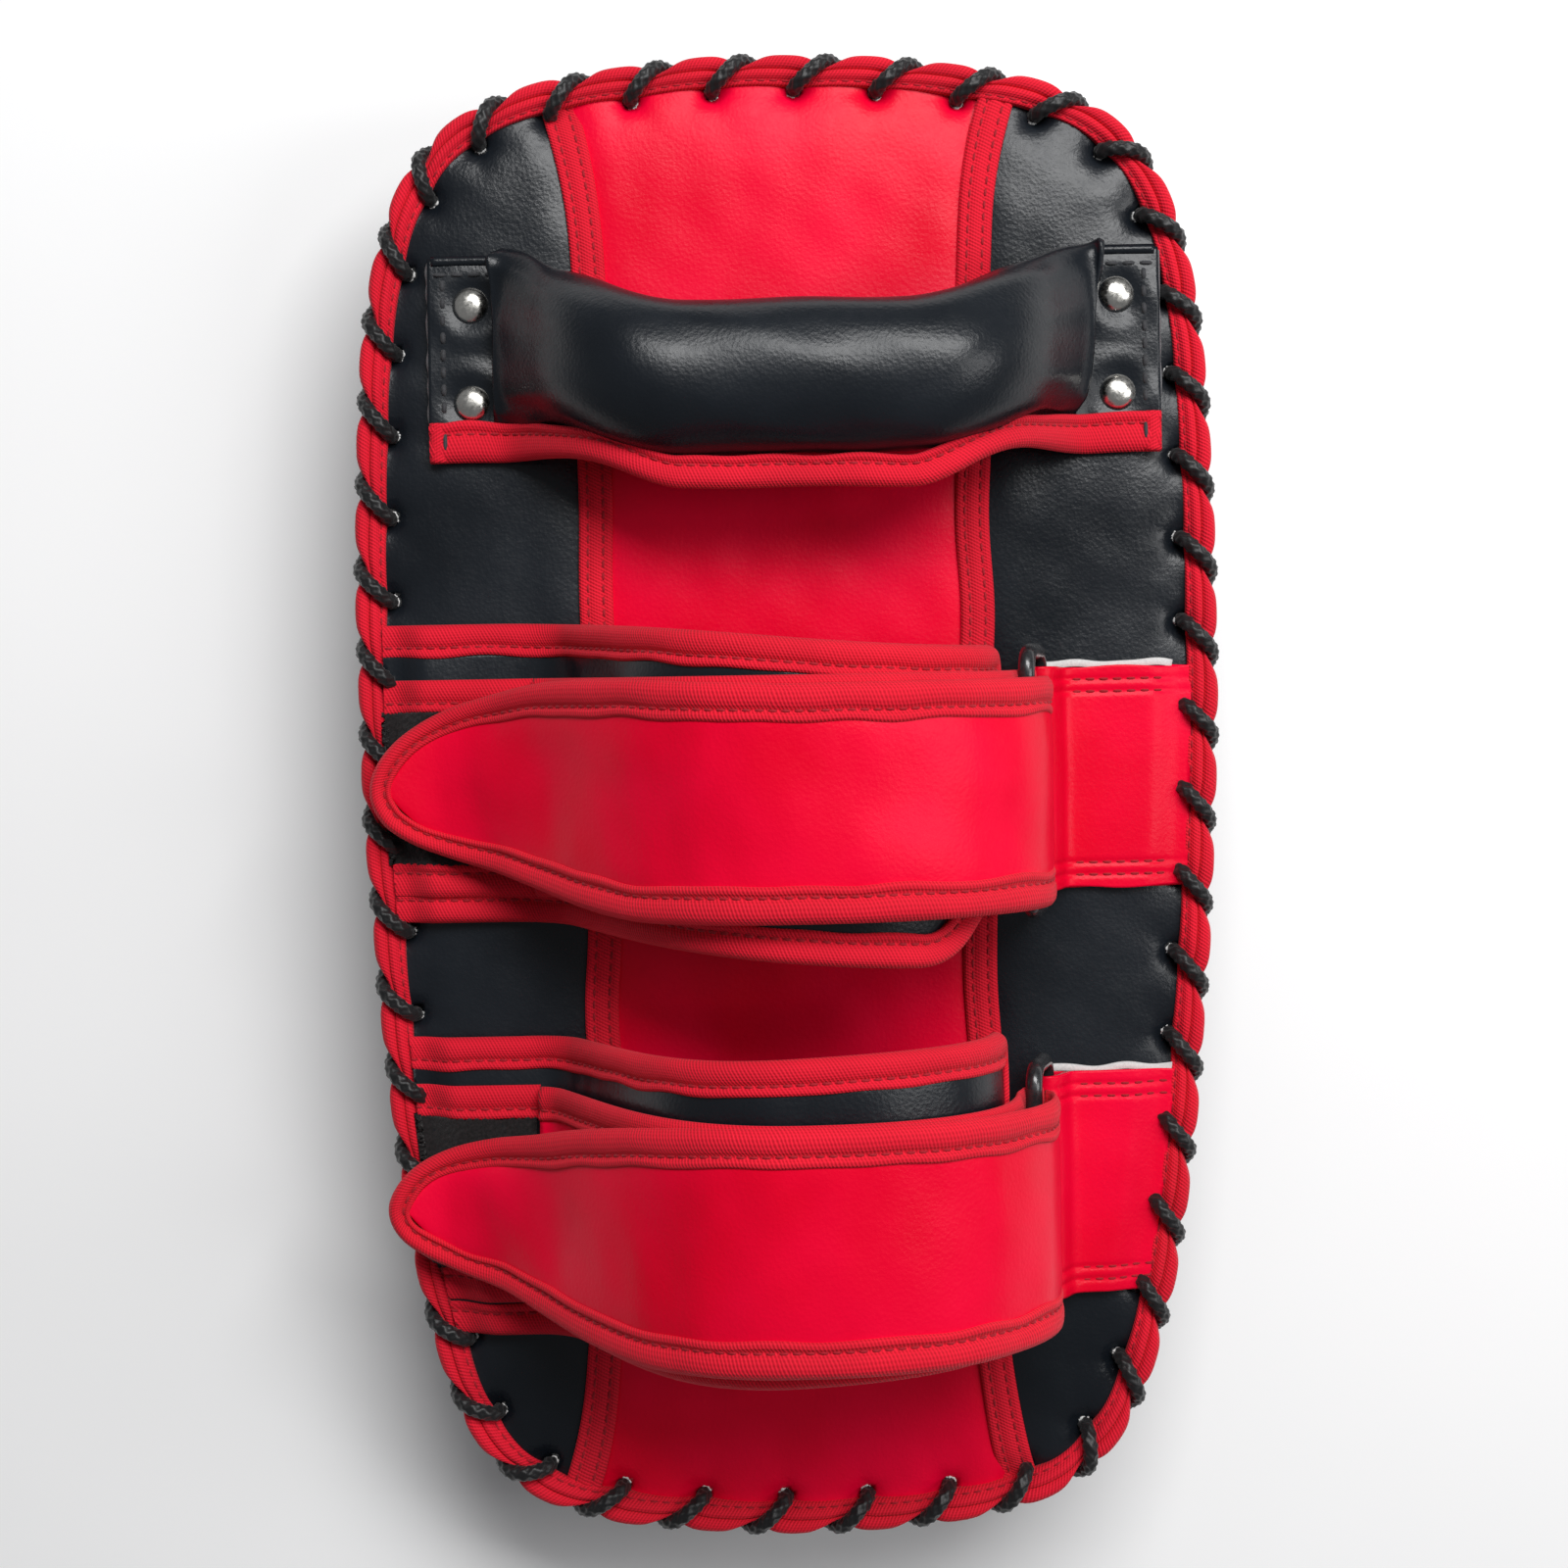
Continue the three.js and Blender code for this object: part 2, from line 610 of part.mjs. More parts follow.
function ring(y) {
  const [lower, upper] = [LOWER_BAR, UPPER_BAR].map(([x, z]) => new THREE.Vector2(x, REAR + z));
  const middle = lower.clone().add(upper).multiplyScalar(0.5);
  const reach = upper.distanceTo(lower) / 2;
  const up = upper.clone().sub(lower).normalize();
  const halfLength = RING_SLOT / 2 + WIRE;
  const corner = 3.5;
  const points = [];
  for (const [sy, su, start] of [[1, 1, 0], [-1, 1, 1], [-1, -1, 2], [1, -1, 3]])
    for (let k = 0; k <= 3; k++) {
      const angle = ((start + k / 3) * Math.PI) / 2;
      const along = sy * (halfLength - corner) + corner * Math.cos(angle);
      const rise = su * (reach - corner) + corner * Math.sin(angle);
      points.push(
        new THREE.Vector3(middle.x + up.x * rise, y + along, middle.y + up.y * rise),
      );
    }
  const face = new THREE.Vector3(up.y, 0, -up.x);
  return bar(points, WIRE, 8, () => face, true);
}

// A folded strip from the pad's right edge that ends in an eye round the ring's lower bar.
function anchor(y, inside) {
  const [barX, barZ] = LOWER_BAR;
  const eye = WIRE + FIT + ANCHOR_THICK + 0.2;
  const top = REAR + FIT + ANCHOR_THICK;
  const shape = new THREE.Shape();
  const meet = Math.asin((top - REAR - barZ) / eye);
  shape.moveTo(110, REAR + FIT);
  shape.lineTo(110, top);
  shape.lineTo(barX + eye * Math.cos(meet), top);
  shape.absarc(barX, REAR + barZ, eye, meet, (3 * Math.PI) / 2, false);
  shape.lineTo(barX, REAR + FIT);
  shape.holes.push(new THREE.Path().absarc(barX, REAR + barZ, WIRE + FIT, 0, 2 * Math.PI, true));
  return solidOf(acrossPad(shape, y, 2 * ANCHOR_HALF_WIDTH)).intersect(inside);
}

const none = () => 0;

function addWrapStrap({ name, y }, arch) {
  const inside = clearOfLace();
  const upTo = (millimetres) => 1 - millimetres / arch.getLength();
  const halfWidth = WRAP.halfWidth - 2;
  const body = band(offsetLine(arch, none, 0, upTo(2)), WRAP.half, y, halfWidth);
  add(`${name}_wrap`, body.intersect(inside), "blackSkin");
  const slot = band(offsetLine(arch, none, 0, upTo(2 - FIT)), WRAP.half + FIT, y, halfWidth + FIT);
  const window = band(offsetLine(arch, none, 0, upTo(WRAP.tape)), 4, y, WRAP.halfWidth - WRAP.tape);
  const tape = band(offsetLine(arch, none), WRAP.half + WRAP.proud, y, WRAP.halfWidth);
  add(`${name}_wrap_binding`, tape.subtract(window).subtract(slot).intersect(inside), "redTape");
}

// The loop panel is sewn flat on the wrap strap's left end: a backing, the loop pile and a tape
// along each side.
function addLoopPanel({ name, y }) {
  const inside = clearOfLace();
  const low = REAR + WRAP_FLAT + WRAP.half + FIT;
  const face = low + 1 + FIT;
  const half = PULL.halfWidth;
  const pile = half - 8;
  const piece = (y0, y1, z0, z1) =>
    solidOf(box(-105, LOOP_END_X, y + y0, y + y1, z0, z1)).intersect(inside);
  add(`${name}_loop_panel`, piece(-half, half, low, low + 1), "blackSkin");
  add(`${name}_loop_patch`, piece(FIT - pile, pile - FIT, face, face + 0.9), "fastener");
  add(`${name}_loop_binding_top`, piece(pile, half, face, face + 1.1), "redTape");
  add(`${name}_loop_binding_bottom`, piece(-half, -pile, face, face + 1.1), "redTape");
}

// The pull strap runs from its sewn end over the forearm to the ring.
function addPullStrap({ name, y }, arch) {
  const shareAt = (millimetres) => millimetres / arch.getLength();
  const sewn = shareAt(LOOP_END_X + 0.8 - ARCH_START_X);
  const end = 1 - shareAt(4.6);
  const out = () => TO_PULL;
  const strap = offsetLine(arch, out, sewn, end);
  const longer = offsetLine(arch, out, sewn - shareAt(1), end + shareAt(1));
  const halfWidth = PULL.halfWidth - 2;
  add(`${name}_pull_strap`, band(strap, PULL.half, y, halfWidth), "redSkin");
  const tapes = band(strap, PULL.half + PULL.proud, y, PULL.halfWidth)
    .subtract(band(longer, 4, y, PULL.halfWidth - PULL.tape))
    .subtract(band(longer, PULL.half + FIT, y, halfWidth + FIT))
    .decompose()
    .sort((a, b) => b.boundingBox().max[1] - a.boundingBox().max[1]);
  add(`${name}_pull_binding_top`, tapes[0], "redTape");
  add(`${name}_pull_binding_bottom`, tapes[1], "redTape");
}

// The flap's centre line: from past its tip, over the pull strap and round the ring's upper bar.
function flapLine(arch, tip) {
  const swing = TO_PULL + 2 * FOLD - TO_FLAP; // how far the flap leaves the pull strap at the bar
  const start = 1 - 20 / arch.getLength();
  const line = offsetLine(arch, (share) => TO_FLAP + swing * ease(start, 1, share));
  line.unshift({ at: new THREE.Vector2(tip - 5, line[0].at.y), normal: line[0].normal });
  for (let k = 0; k <= 6; k++) {
    const angle = -(k * Math.PI) / 6;
    const normal = new THREE.Vector2(Math.cos(angle), Math.sin(angle));
    const [x, z] = UPPER_BAR;
    line.push({ at: new THREE.Vector2(x, z).addScaledVector(normal, FOLD), normal });
  }
  return line;
}

function addFlap(set, arch) {
  const { name, y, tip } = set;
  const line = flapLine(arch, tip[0]);
  const halfWidth = PULL.halfWidth - 2;
  const flap = band(line, PULL.half, y, halfWidth).intersect(flapPlan(set, 2));
  add(`${name}_flap`, flap, "redSkin");
  const slot = band(line, PULL.half + FIT, y, halfWidth + FIT).intersect(flapPlan(set, 2 - FIT));
  const tape = band(line, PULL.half + PULL.proud, y, PULL.halfWidth)
    .intersect(flapPlan(set, 0))
    .subtract(flapPlan(set, PULL.tape))
    .subtract(slot);
  add(`${name}_flap_binding`, tape, "redTape");
  const top = REAR + WRAP_FLAT + TO_FLAP - PULL.half - FIT;
  const patchY = y + tip[1] / 2;
  add(`${name}_hook_patch`, box(-82, -62, patchY - 9, patchY + 9, top - 1, top), "fastener");
}

function addStrapSet(set) {
  const arch = archLine(set.crest, ARCH_START_X);
  addWrapStrap(set, arch);
  addLoopPanel(set);
  addPullStrap(set, arch);
  addFlap(set, arch);
  add(`${set.name}_ring`, ring(set.y), "blackMetal");
  add(`${set.name}_anchor`, anchor(set.y, clearOfLace()), "redSkin");
}

// ---------------------------------------------------------------- assembly

addBody();
addBindings();
addGrip();
STRAPS.forEach(addStrapSet);

export default pad;
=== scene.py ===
"""Thai pad: leatherette, stitched tapes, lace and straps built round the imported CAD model."""

import json
import math

import bmesh
import bpy
import numpy as np
from mathutils import Matrix, Vector, kdtree

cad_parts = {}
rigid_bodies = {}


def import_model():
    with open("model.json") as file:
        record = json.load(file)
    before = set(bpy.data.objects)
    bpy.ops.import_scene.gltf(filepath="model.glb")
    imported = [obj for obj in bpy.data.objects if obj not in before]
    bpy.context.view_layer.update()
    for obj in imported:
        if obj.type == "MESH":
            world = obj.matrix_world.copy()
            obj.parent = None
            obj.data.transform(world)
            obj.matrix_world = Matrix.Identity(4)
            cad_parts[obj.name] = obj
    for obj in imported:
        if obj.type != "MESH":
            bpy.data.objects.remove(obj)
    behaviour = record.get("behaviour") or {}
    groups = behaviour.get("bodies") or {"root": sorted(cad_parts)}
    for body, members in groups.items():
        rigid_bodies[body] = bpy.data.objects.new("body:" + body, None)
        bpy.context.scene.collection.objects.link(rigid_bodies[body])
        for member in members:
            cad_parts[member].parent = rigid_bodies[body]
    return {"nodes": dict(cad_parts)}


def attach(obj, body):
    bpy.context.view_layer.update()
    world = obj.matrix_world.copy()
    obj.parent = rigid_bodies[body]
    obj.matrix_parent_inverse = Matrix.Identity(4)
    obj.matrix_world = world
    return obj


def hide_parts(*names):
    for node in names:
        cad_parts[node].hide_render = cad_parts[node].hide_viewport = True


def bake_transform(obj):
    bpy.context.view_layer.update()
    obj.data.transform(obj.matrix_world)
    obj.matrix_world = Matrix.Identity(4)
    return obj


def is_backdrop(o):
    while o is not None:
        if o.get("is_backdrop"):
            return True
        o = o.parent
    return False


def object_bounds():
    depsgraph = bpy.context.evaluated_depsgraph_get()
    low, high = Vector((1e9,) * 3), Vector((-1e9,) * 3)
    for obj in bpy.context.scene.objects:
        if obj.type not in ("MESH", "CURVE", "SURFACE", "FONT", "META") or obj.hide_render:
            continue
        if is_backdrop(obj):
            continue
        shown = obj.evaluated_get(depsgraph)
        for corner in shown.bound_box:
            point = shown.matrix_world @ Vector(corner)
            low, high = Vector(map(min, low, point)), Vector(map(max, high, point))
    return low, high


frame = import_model()
cad_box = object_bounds()

MM = 0.001
TAU = 2 * math.pi

# ------------------------------------------------------------------ dimensions, in millimetres

HALF_WIDTH, HALF_LENGTH = 101.5, 177.5
WIDEST_Y, SIDE_BOW, END_BOW, CORNER_SHARPNESS = 47.0, 4.3e-4, 1.6e-3, 8
REAR = 52.0
SEAM_X, SEAM_FLARE = 46.5, 7.5
STITCHES = 48
HOLE_INSET, HOLE_RADIUS = 4.0, 1.7
PANEL_EDGE = 1.6
WALL_HOLE_Z = 38.0
LACE_RADIUS = 1.75

WRAP_FLAT, TO_PULL, TO_FLAP, FOLD = 2.8, 4.8, 9.0, 4.2
ARCH_SIDE_X = 47.5
UPPER_BAR = (ARCH_SIDE_X + TO_PULL + FOLD, 23.0)
LOWER_BAR = (61.2, 5.6)
LOOP_END_X = -62.0
SETS = {
    "upper": dict(y=3.0, crest=56.0, lean=(3.5, -4.0)),
    "lower": dict(y=-96.0, crest=60.0, lean=(1.5, 5.0)),
}

# ------------------------------------------------------------------ small maths


def smooth(low, high, x):
    t = np.clip((np.asarray(x, float) - low) / (high - low), 0, 1)
    return t * t * (3 - 2 * t)


def ripple(seed, size, *coords):
    """Smooth repeatable noise of about -1 to 1; size is its typical feature, in millimetres."""
    rng = np.random.default_rng(seed)
    total = np.zeros(np.broadcast(*coords).shape)
    for _ in range(9):
        k = rng.normal(0, 1, len(coords))
        k *= rng.uniform(0.6, 1.5) * TAU / (size * np.linalg.norm(k))
        total += np.sin(sum(a * c for a, c in zip(k, coords)) + rng.uniform(0, TAU))
    return total / 4.2


def catmull(points, closed, step):
    """Points every step or so along a Catmull-Rom curve through the given ones."""
    p = np.asarray(points, float)
    if closed:
        p = np.concatenate([p[-1:], p, p[:2]])
    else:
        p = np.concatenate([2 * p[:1] - p[1:2], p, 2 * p[-1:] - p[-2:-1]])
    out = []
    for a, b, c, d in zip(p, p[1:], p[2:], p[3:]):
        count = max(1, int(round(np.linalg.norm(c - b) / step)))
        t = (np.arange(count) / count)[:, None]
        out.append(
            0.5 * (2 * b + (c - a) * t + (2 * a - 5 * b + 4 * c - d) * t**2
                   + (3 * b - a - 3 * c + d) * t**3)
        )
    if not closed:
        out.append(p[-2:-1])
    return np.concatenate(out)


def run_length(points, closed=False):
    """Length from the first point to each one; with closed, the way back is the last entry."""
    if closed:
        points = np.concatenate([points, points[:1]])
    return np.concatenate([[0], np.cumsum(np.linalg.norm(np.diff(points, axis=0), axis=-1))])


def unit(v):
    return v / np.maximum(np.linalg.norm(v, axis=-1, keepdims=True), 1e-9)


def columns(at, runs, table):
    """Each column of table, given at runs, read off at other places."""
    return np.stack([np.interp(at, runs, table[:, k]) for k in range(table.shape[1])], -1)


def xyz(x, y, z):
    return np.stack(np.broadcast_arrays(x, y, z), -1).astype(float)


def averaged(table, count):
    """The running mean of each column over that many rows."""
    wide = np.pad(table, ((count // 2, count // 2), (0, 0)), mode="edge")
    mean = np.ones(count) / count
    return np.stack([np.convolve(wide[:, k], mean, "valid") for k in (0, 1)], -1)


def grid_quads(n, m, closed_u=False, closed_v=False):
    """The faces of a lattice of n rows of m points."""
    a, b = np.meshgrid(
        np.arange(n if closed_u else n - 1), np.arange(m if closed_v else m - 1), indexing="ij"
    )
    corners = [(a, b), (a + 1, b), (a + 1, b + 1), (a, b + 1)]
    return np.stack([(i % n) * m + j % m for i, j in corners], -1).reshape(-1, 4)


def tube_faces(n, m):
    """The faces of a tube of n rings of m points, with a cap at each end."""
    caps = [list(range(m))[::-1], list(range((n - 1) * m, n * m))]
    return grid_quads(n, m, closed_v=True)[:, [0, 3, 2, 1]].tolist() + caps


# ------------------------------------------------------------------ meshes


UP = np.array([0, 0, 1.0])


class Shape:
    """Collects lattices of points into one mesh. Points are in millimetres."""

    def __init__(self):
        self.points, self.faces, self.uvs, self.count = [], [], [], 0

    def add(self, points, faces, uv=None):
        """uv has one entry for each corner of each face, in millimetres."""
        points = np.asarray(points, float).reshape(-1, 3)
        faces = np.asarray(faces)
        self.points.append(points)
        self.faces += (faces + self.count).tolist()
        self.uvs.append(np.zeros((faces.size, 2)) if uv is None else uv.reshape(-1, 2))
        self.count += len(points)

    def lattice(self, p, closed_u=False, closed_v=False, caps=False):
        """p is (stations, points, 3). caps closes the two ends of a tube."""
        n, m = p.shape[:2]
        across = run_length(p[n // 2], closed_v)
        along = run_length(p[:, 0], closed_u)
        quads = grid_quads(n, m, closed_u, closed_v)
        a, b = quads[:, :1] // m, quads[:, :1] % m
        uv = np.stack([along[a + [0, 1, 1, 0]], across[b + [0, 0, 1, 1]]], -1)
        start = self.count
        self.add(p, quads, uv)
        if caps:
            for row in (0, n - 1):
                ring = start + row * m + np.arange(m)
                self.faces.append((ring if row == 0 else ring[::-1]).tolist())
                self.uvs.append(np.zeros((m, 2)))
        return self

    def strip(self, p):
        return self.lattice(p, closed_v=True, caps=True)

    def build(self, name, material, replaces=(), body="pad", slot=None, thick=0, facing=None):
        """facing is the way that an open sheet's faces look; thick goes behind them."""
        mesh = bpy.data.meshes.new(name)
        mesh.from_pydata((np.concatenate(self.points) * MM).tolist(), [], self.faces)
        layer = mesh.uv_layers.new(name="run")
        layer.data.foreach_set("uv", (np.concatenate(self.uvs) * MM).astype(np.float32).ravel())
        bm = bmesh.new()
        bm.from_mesh(mesh)
        bmesh.ops.recalc_face_normals(bm, faces=bm.faces)
        loose = [v for v in bm.verts if not v.link_faces]
        bmesh.ops.delete(bm, geom=loose, context="VERTS")
        if facing is not None:
            middles = np.array([f.calc_center_median() for f in bm.faces]) / MM
            normals = np.array([f.normal for f in bm.faces])
            if np.sum(normals * (facing(middles) if callable(facing) else facing)) < 0:
                bmesh.ops.reverse_faces(bm, faces=bm.faces)
        for face in bm.faces:
            face.smooth = True
        bm.to_mesh(mesh)
        bm.free()
        piece = bpy.data.objects.new(name, mesh)
        bpy.context.scene.collection.objects.link(piece)
        mesh.materials.append(material)
        if thick:
            shell = piece.modifiers.new("thickness", "SOLIDIFY")
            shell.thickness, shell.offset = thick * MM, -1
        if body:
            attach(piece, body)
        slot or SLOTS[material]
        if replaces:
            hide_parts(*replaces)
        return piece


def tube(path, radius, sides=12, up=(0, 0, 1), closed=False, squash=1.0):
    """(stations, sides, 3) points of a tube along path. radius may differ at each station."""
    path = np.asarray(path, float)
    if closed:
        along = unit(np.roll(path, -1, 0) - np.roll(path, 1, 0))
    else:
        along = unit(np.gradient(path, axis=0))
    up = np.broadcast_to(np.asarray(up, float), path.shape)
    side = unit(np.cross(along, up))
    top = np.cross(side, along)
    angle = np.arange(sides) * TAU / sides
    radius = np.broadcast_to(radius, (len(path),)).reshape(-1, 1, 1)
    return (
        path[:, None]
        + radius * np.cos(angle)[None, :, None] * side[:, None]
        + radius * squash * np.sin(angle)[None, :, None] * top[:, None]
    )


def threads(shape, path, normals, pitch, length, radius, sink=0.1):
    """Adds a row of sewn stitches along path, each a short capsule that dips at its ends."""
    sides = 6
    normals = np.broadcast_to(normals, path.shape)
    total = run_length(path)
    count = max(1, int(total[-1] / pitch))
    middles = (np.arange(count) + 0.5) * total[-1] / count
    spread = np.array([-0.5, -0.42, -0.2, 0.2, 0.42, 0.5]) * length
    size = np.array([0.25, 0.75, 1.0, 1.0, 0.75, 0.25]) * radius
    dip = np.array([-0.9, -0.35, 0.0, 0.0, -0.35, -0.9]) * radius - sink
    at = middles[:, None] + spread[None]
    centre = columns(at, total, path)
    normal = unit(columns(at, total, normals))
    centre = centre + normal * dip[None, :, None]
    along = unit(centre[:, -1:] - centre[:, :1])
    side = np.cross(along, normal)
    angle = np.arange(sides) * TAU / sides
    ring = (
        centre[:, :, None]
        + size[None, :, None, None] * np.cos(angle)[None, None, :, None] * side[:, :, None]
        + size[None, :, None, None] * np.sin(angle)[None, None, :, None] * normal[:, :, None]
    )
    rings = len(spread)
    quads = grid_quads(rings, sides, closed_v=True)
    faces = (np.arange(count)[:, None, None] * rings * sides + quads[None]).reshape(-1, 4)
    start = shape.count
    shape.add(ring.reshape(-1, 3), faces)
    for k in range(count):
        first = start + k * rings * sides
        last = first + (rings - 1) * sides
        shape.faces.append(list(range(first, first + sides)))
        shape.faces.append(list(range(last, last + sides))[::-1])
        shape.uvs.append(np.zeros((2 * sides, 2)))


# ------------------------------------------------------------------ materials


class Surface:
    """A principled material with a few helpers for its node tree."""

    def __init__(self, name, **inputs):
        self.material = bpy.data.materials.new(name)
        self.material.use_nodes = True
        self.tree = self.material.node_tree
        self.shader = self.tree.nodes["Principled BSDF"]
        for key, value in inputs.items():
            self.shader.inputs[key.replace("_", " ")].default_value = value

    def node(self, kind, settings=None, **inputs):
        made = self.tree.nodes.new(kind)
        for key, value in (settings or {}).items():
            setattr(made, key, value)
        for key, value in inputs.items():
            socket = made.inputs[int(key[1:]) if key[0] == "i" and key[1:].isdigit() else key]
            if isinstance(value, bpy.types.NodeSocket):
                self.tree.links.new(value, socket)
            else:
                socket.default_value = value
        return made

    def place(self):
        if not hasattr(self, "_place"):
            self._place = self.node("ShaderNodeTexCoord").outputs["Object"]
        return self._place

    def run(self):
        """Millimetres along and across a tape, lace or thread."""
        uv = self.node("ShaderNodeUVMap", {"uv_map": "run"}).outputs[0]
        scaled = self.node("ShaderNodeVectorMath", {"operation": "SCALE"}, i0=uv, i3=1000.0)
        split = self.node("ShaderNodeSeparateXYZ", i0=scaled.outputs[0])
        return split.outputs[0], split.outputs[1]

    def noise(self, scale, detail=2.0, roughness=0.5, distortion=0.0):
        made = self.node("ShaderNodeTexNoise", Vector=self.place(), Scale=scale, Detail=detail,
                         Roughness=roughness, Distortion=distortion)
        return made.outputs["Fac"]

    def cells(self, scale, feature="F1", **more):
        made = self.node("ShaderNodeTexVoronoi", {"feature": feature}, Vector=self.place(),
                         Scale=scale, **more)
        return made.outputs["Distance"]

    def maths(self, operation, a, b=0.0, c=0.0):
        return self.node("ShaderNodeMath", {"operation": operation}, i0=a, i1=b, i2=c).outputs[0]

    def spread(self, value, low, high, to_low, to_high):
        return self.node("ShaderNodeMapRange", i0=value, i1=low, i2=high, i3=to_low,
                         i4=to_high).outputs[0]

    def mix(self, share, a, b):
        return self.node("ShaderNodeMix", {"data_type": "RGBA"}, i0=share, i6=a, i7=b).outputs[2]

    def bump(self, height, strength, distance, under=None):
        made = self.node("ShaderNodeBump", Height=height, Strength=strength,
                         Distance=distance * MM)
        if under is not None:
            self.tree.links.new(under, made.inputs["Normal"])
        return made.outputs[0]

    def feed(self, **links):
        for key, value in links.items():
            self.tree.links.new(value, self.shader.inputs[key.replace("_", " ")])
        return self.material


def leatherette(name, deep, pale, roughness, specular):
    s = Surface(name, Specular_IOR_Level=specular, Roughness=roughness)
    broad, fine = s.noise(22, 3), s.noise(420, 4, 0.6)
    grain, pores = s.cells(1050, "SMOOTH_F1", Smoothness=0.5), s.cells(2300)
    height = s.maths("MULTIPLY_ADD", grain, 0.9, s.maths("MULTIPLY", pores, 0.35))
    height = s.maths("MULTIPLY_ADD", fine, 0.5, height)
    normal = s.bump(s.noise(70, 2), 0.06, 0.5)
    normal = s.bump(height, 0.34, 0.14, normal)
    colour = s.mix(s.spread(broad, 0.35, 0.65, 0.0, 1.0), deep, pale)
    dull = s.spread(s.maths("MULTIPLY_ADD", fine, 0.5, broad), 0.45, 1.0, roughness - 0.06,
                    roughness + 0.1)
    return s.feed(Base_Color=colour, Roughness=dull, Normal=normal)


def ribbed(name, dark, light):
    """A tape woven in a twill, its ribs aslant to its length."""
    pitch, slant = 0.86, 0.5
    s = Surface(name, Roughness=0.8, Specular_IOR_Level=0.2, Sheen_Weight=0.05,
                Sheen_Roughness=0.5)
    along, across = s.run()
    lean = s.maths("MULTIPLY_ADD", across, slant, along)
    wobble = s.maths("MULTIPLY_ADD", s.noise(260, 2), 0.5, lean)
    wave = s.maths("SINE", s.maths("MULTIPLY", wobble, TAU / pitch))
    cross = s.maths("SINE", s.maths("MULTIPLY", across, TAU / 0.7))
    weave = s.maths("MULTIPLY_ADD", cross, 0.4, wave)
    fuzz = s.noise(1500, 2)
    height = s.maths("MULTIPLY_ADD", fuzz, 1.2, weave)
    colour = s.mix(s.spread(weave, -2.0, 0.6, 0.0, 1.0), dark, light)
    shade = s.spread(s.noise(35, 3), 0.3, 0.7, 0.86, 1.06)
    tinted = s.node("ShaderNodeVectorMath", {"operation": "SCALE"}, i0=colour, i3=shade)
    normal = s.bump(height, 0.48, 0.13)
    return s.feed(Base_Color=tinted.outputs[0], Normal=normal)


def thread(name, colour, pale, roughness=0.7, specular=0.3):
    s = Surface(name, Roughness=roughness, Specular_IOR_Level=specular, Sheen_Weight=0.1)
    fibre = s.noise(2200, 3)
    return s.feed(
        Base_Color=s.mix(fibre, colour, pale), Normal=s.bump(fibre, 0.4, 0.08)
    )


def pile(name):
    s = Surface(name, Roughness=0.95, Specular_IOR_Level=0.15, Sheen_Weight=0.12,
                Sheen_Roughness=0.6)
    loops, fuzz = s.noise(1600, 4, 0.7), s.noise(300, 3)
    height = s.maths("MULTIPLY_ADD", fuzz, 0.8, loops)
    colour = s.mix(s.spread(loops, 0.35, 0.7, 0.0, 1.0), (0.004, 0.003, 0.003, 1),
                   (0.022, 0.018, 0.019, 1))
    return s.feed(Base_Color=colour, Normal=s.bump(height, 0.9, 0.5))


def metal(name, colour, roughness, metallic=1.0, coat=0.0):
    s = Surface(name, Metallic=metallic, Roughness=roughness, Coat_Weight=coat)
    scuffs = s.noise(900, 5, 0.7, 0.4)
    dark = tuple(0.72 * c for c in colour[:3]) + (1,)
    return s.feed(
        Base_Color=s.mix(s.spread(s.noise(160, 3), 0.4, 0.75, 0.0, 1.0), colour, dark),
        Roughness=s.spread(scuffs, 0.35, 0.75, roughness * 0.8, roughness * 2.2),
        Normal=s.bump(scuffs, 0.12, 0.05),
    )


def foam(name):
    s = Surface(name, Roughness=0.9, Specular_IOR_Level=0.25)
    bubbles = s.cells(900)
    return s.feed(
        Base_Color=s.mix(s.noise(60, 3), (0.03, 0.03, 0.033, 1), (0.06, 0.06, 0.065, 1)),
        Normal=s.bump(bubbles, 0.6, 0.3),
    )


# Near-black leatherette: its own dark colour, with a blue tint that is painted sheen.
BLACK = leatherette("black_leatherette", (0.005, 0.0068, 0.0096, 1), (0.009, 0.0118, 0.0160, 1),
                    0.28, 0.33)
RED = leatherette("red_leatherette", (0.70, 0.0003, 0.020, 1), (0.85, 0.0007, 0.036, 1), 0.31,
                  0.12)
TAPE = ribbed("red_tape", (0.38, 0.0008, 0.008, 1), (0.78, 0.009, 0.031, 1))
LACE = thread("black_lace", (0.002, 0.002, 0.0025, 1), (0.010, 0.010, 0.011, 1), 0.45, 0.4)
# Red thread well below the tape's red: its own colour, deepened as painted shade for the shadows
# between the stitches' lumps.
RED_THREAD = thread("red_thread", (0.20, 0.0012, 0.006, 1), (0.46, 0.004, 0.018, 1))
BLACK_THREAD = thread("black_thread", (0.012, 0.012, 0.014, 1), (0.065, 0.066, 0.072, 1))
BACKING = thread("pale_backing", (0.42, 0.42, 0.42, 1), (0.75, 0.74, 0.72, 1))
PILE = pile("hook_and_loop_pile")
NICKEL = metal("polished_nickel", (0.80, 0.78, 0.73, 1), 0.20)
ENAMEL = metal("black_enamel", (0.016, 0.017, 0.019, 1), 0.24, 0.0, 0.4)
FOAM = foam("closed_cell_foam")
RAW = thread("raw_felt_edge", (0.05, 0.052, 0.057, 1), (0.22, 0.22, 0.23, 1))

# The record's material slot that each look belongs to, unless a piece says otherwise.
SLOTS = {
    BLACK: "black_leatherette", RED: "red_leatherette", TAPE: "red_tape", LACE: "black_lace",
    RED_THREAD: "red_tape", BLACK_THREAD: "black_leatherette", BACKING: "black_leatherette",
    RAW: "black_leatherette", PILE: "hook_and_loop", NICKEL: "nickel", ENAMEL: "black_metal",
    FOAM: "foam",
}

# ------------------------------------------------------------------ camera, light and floor

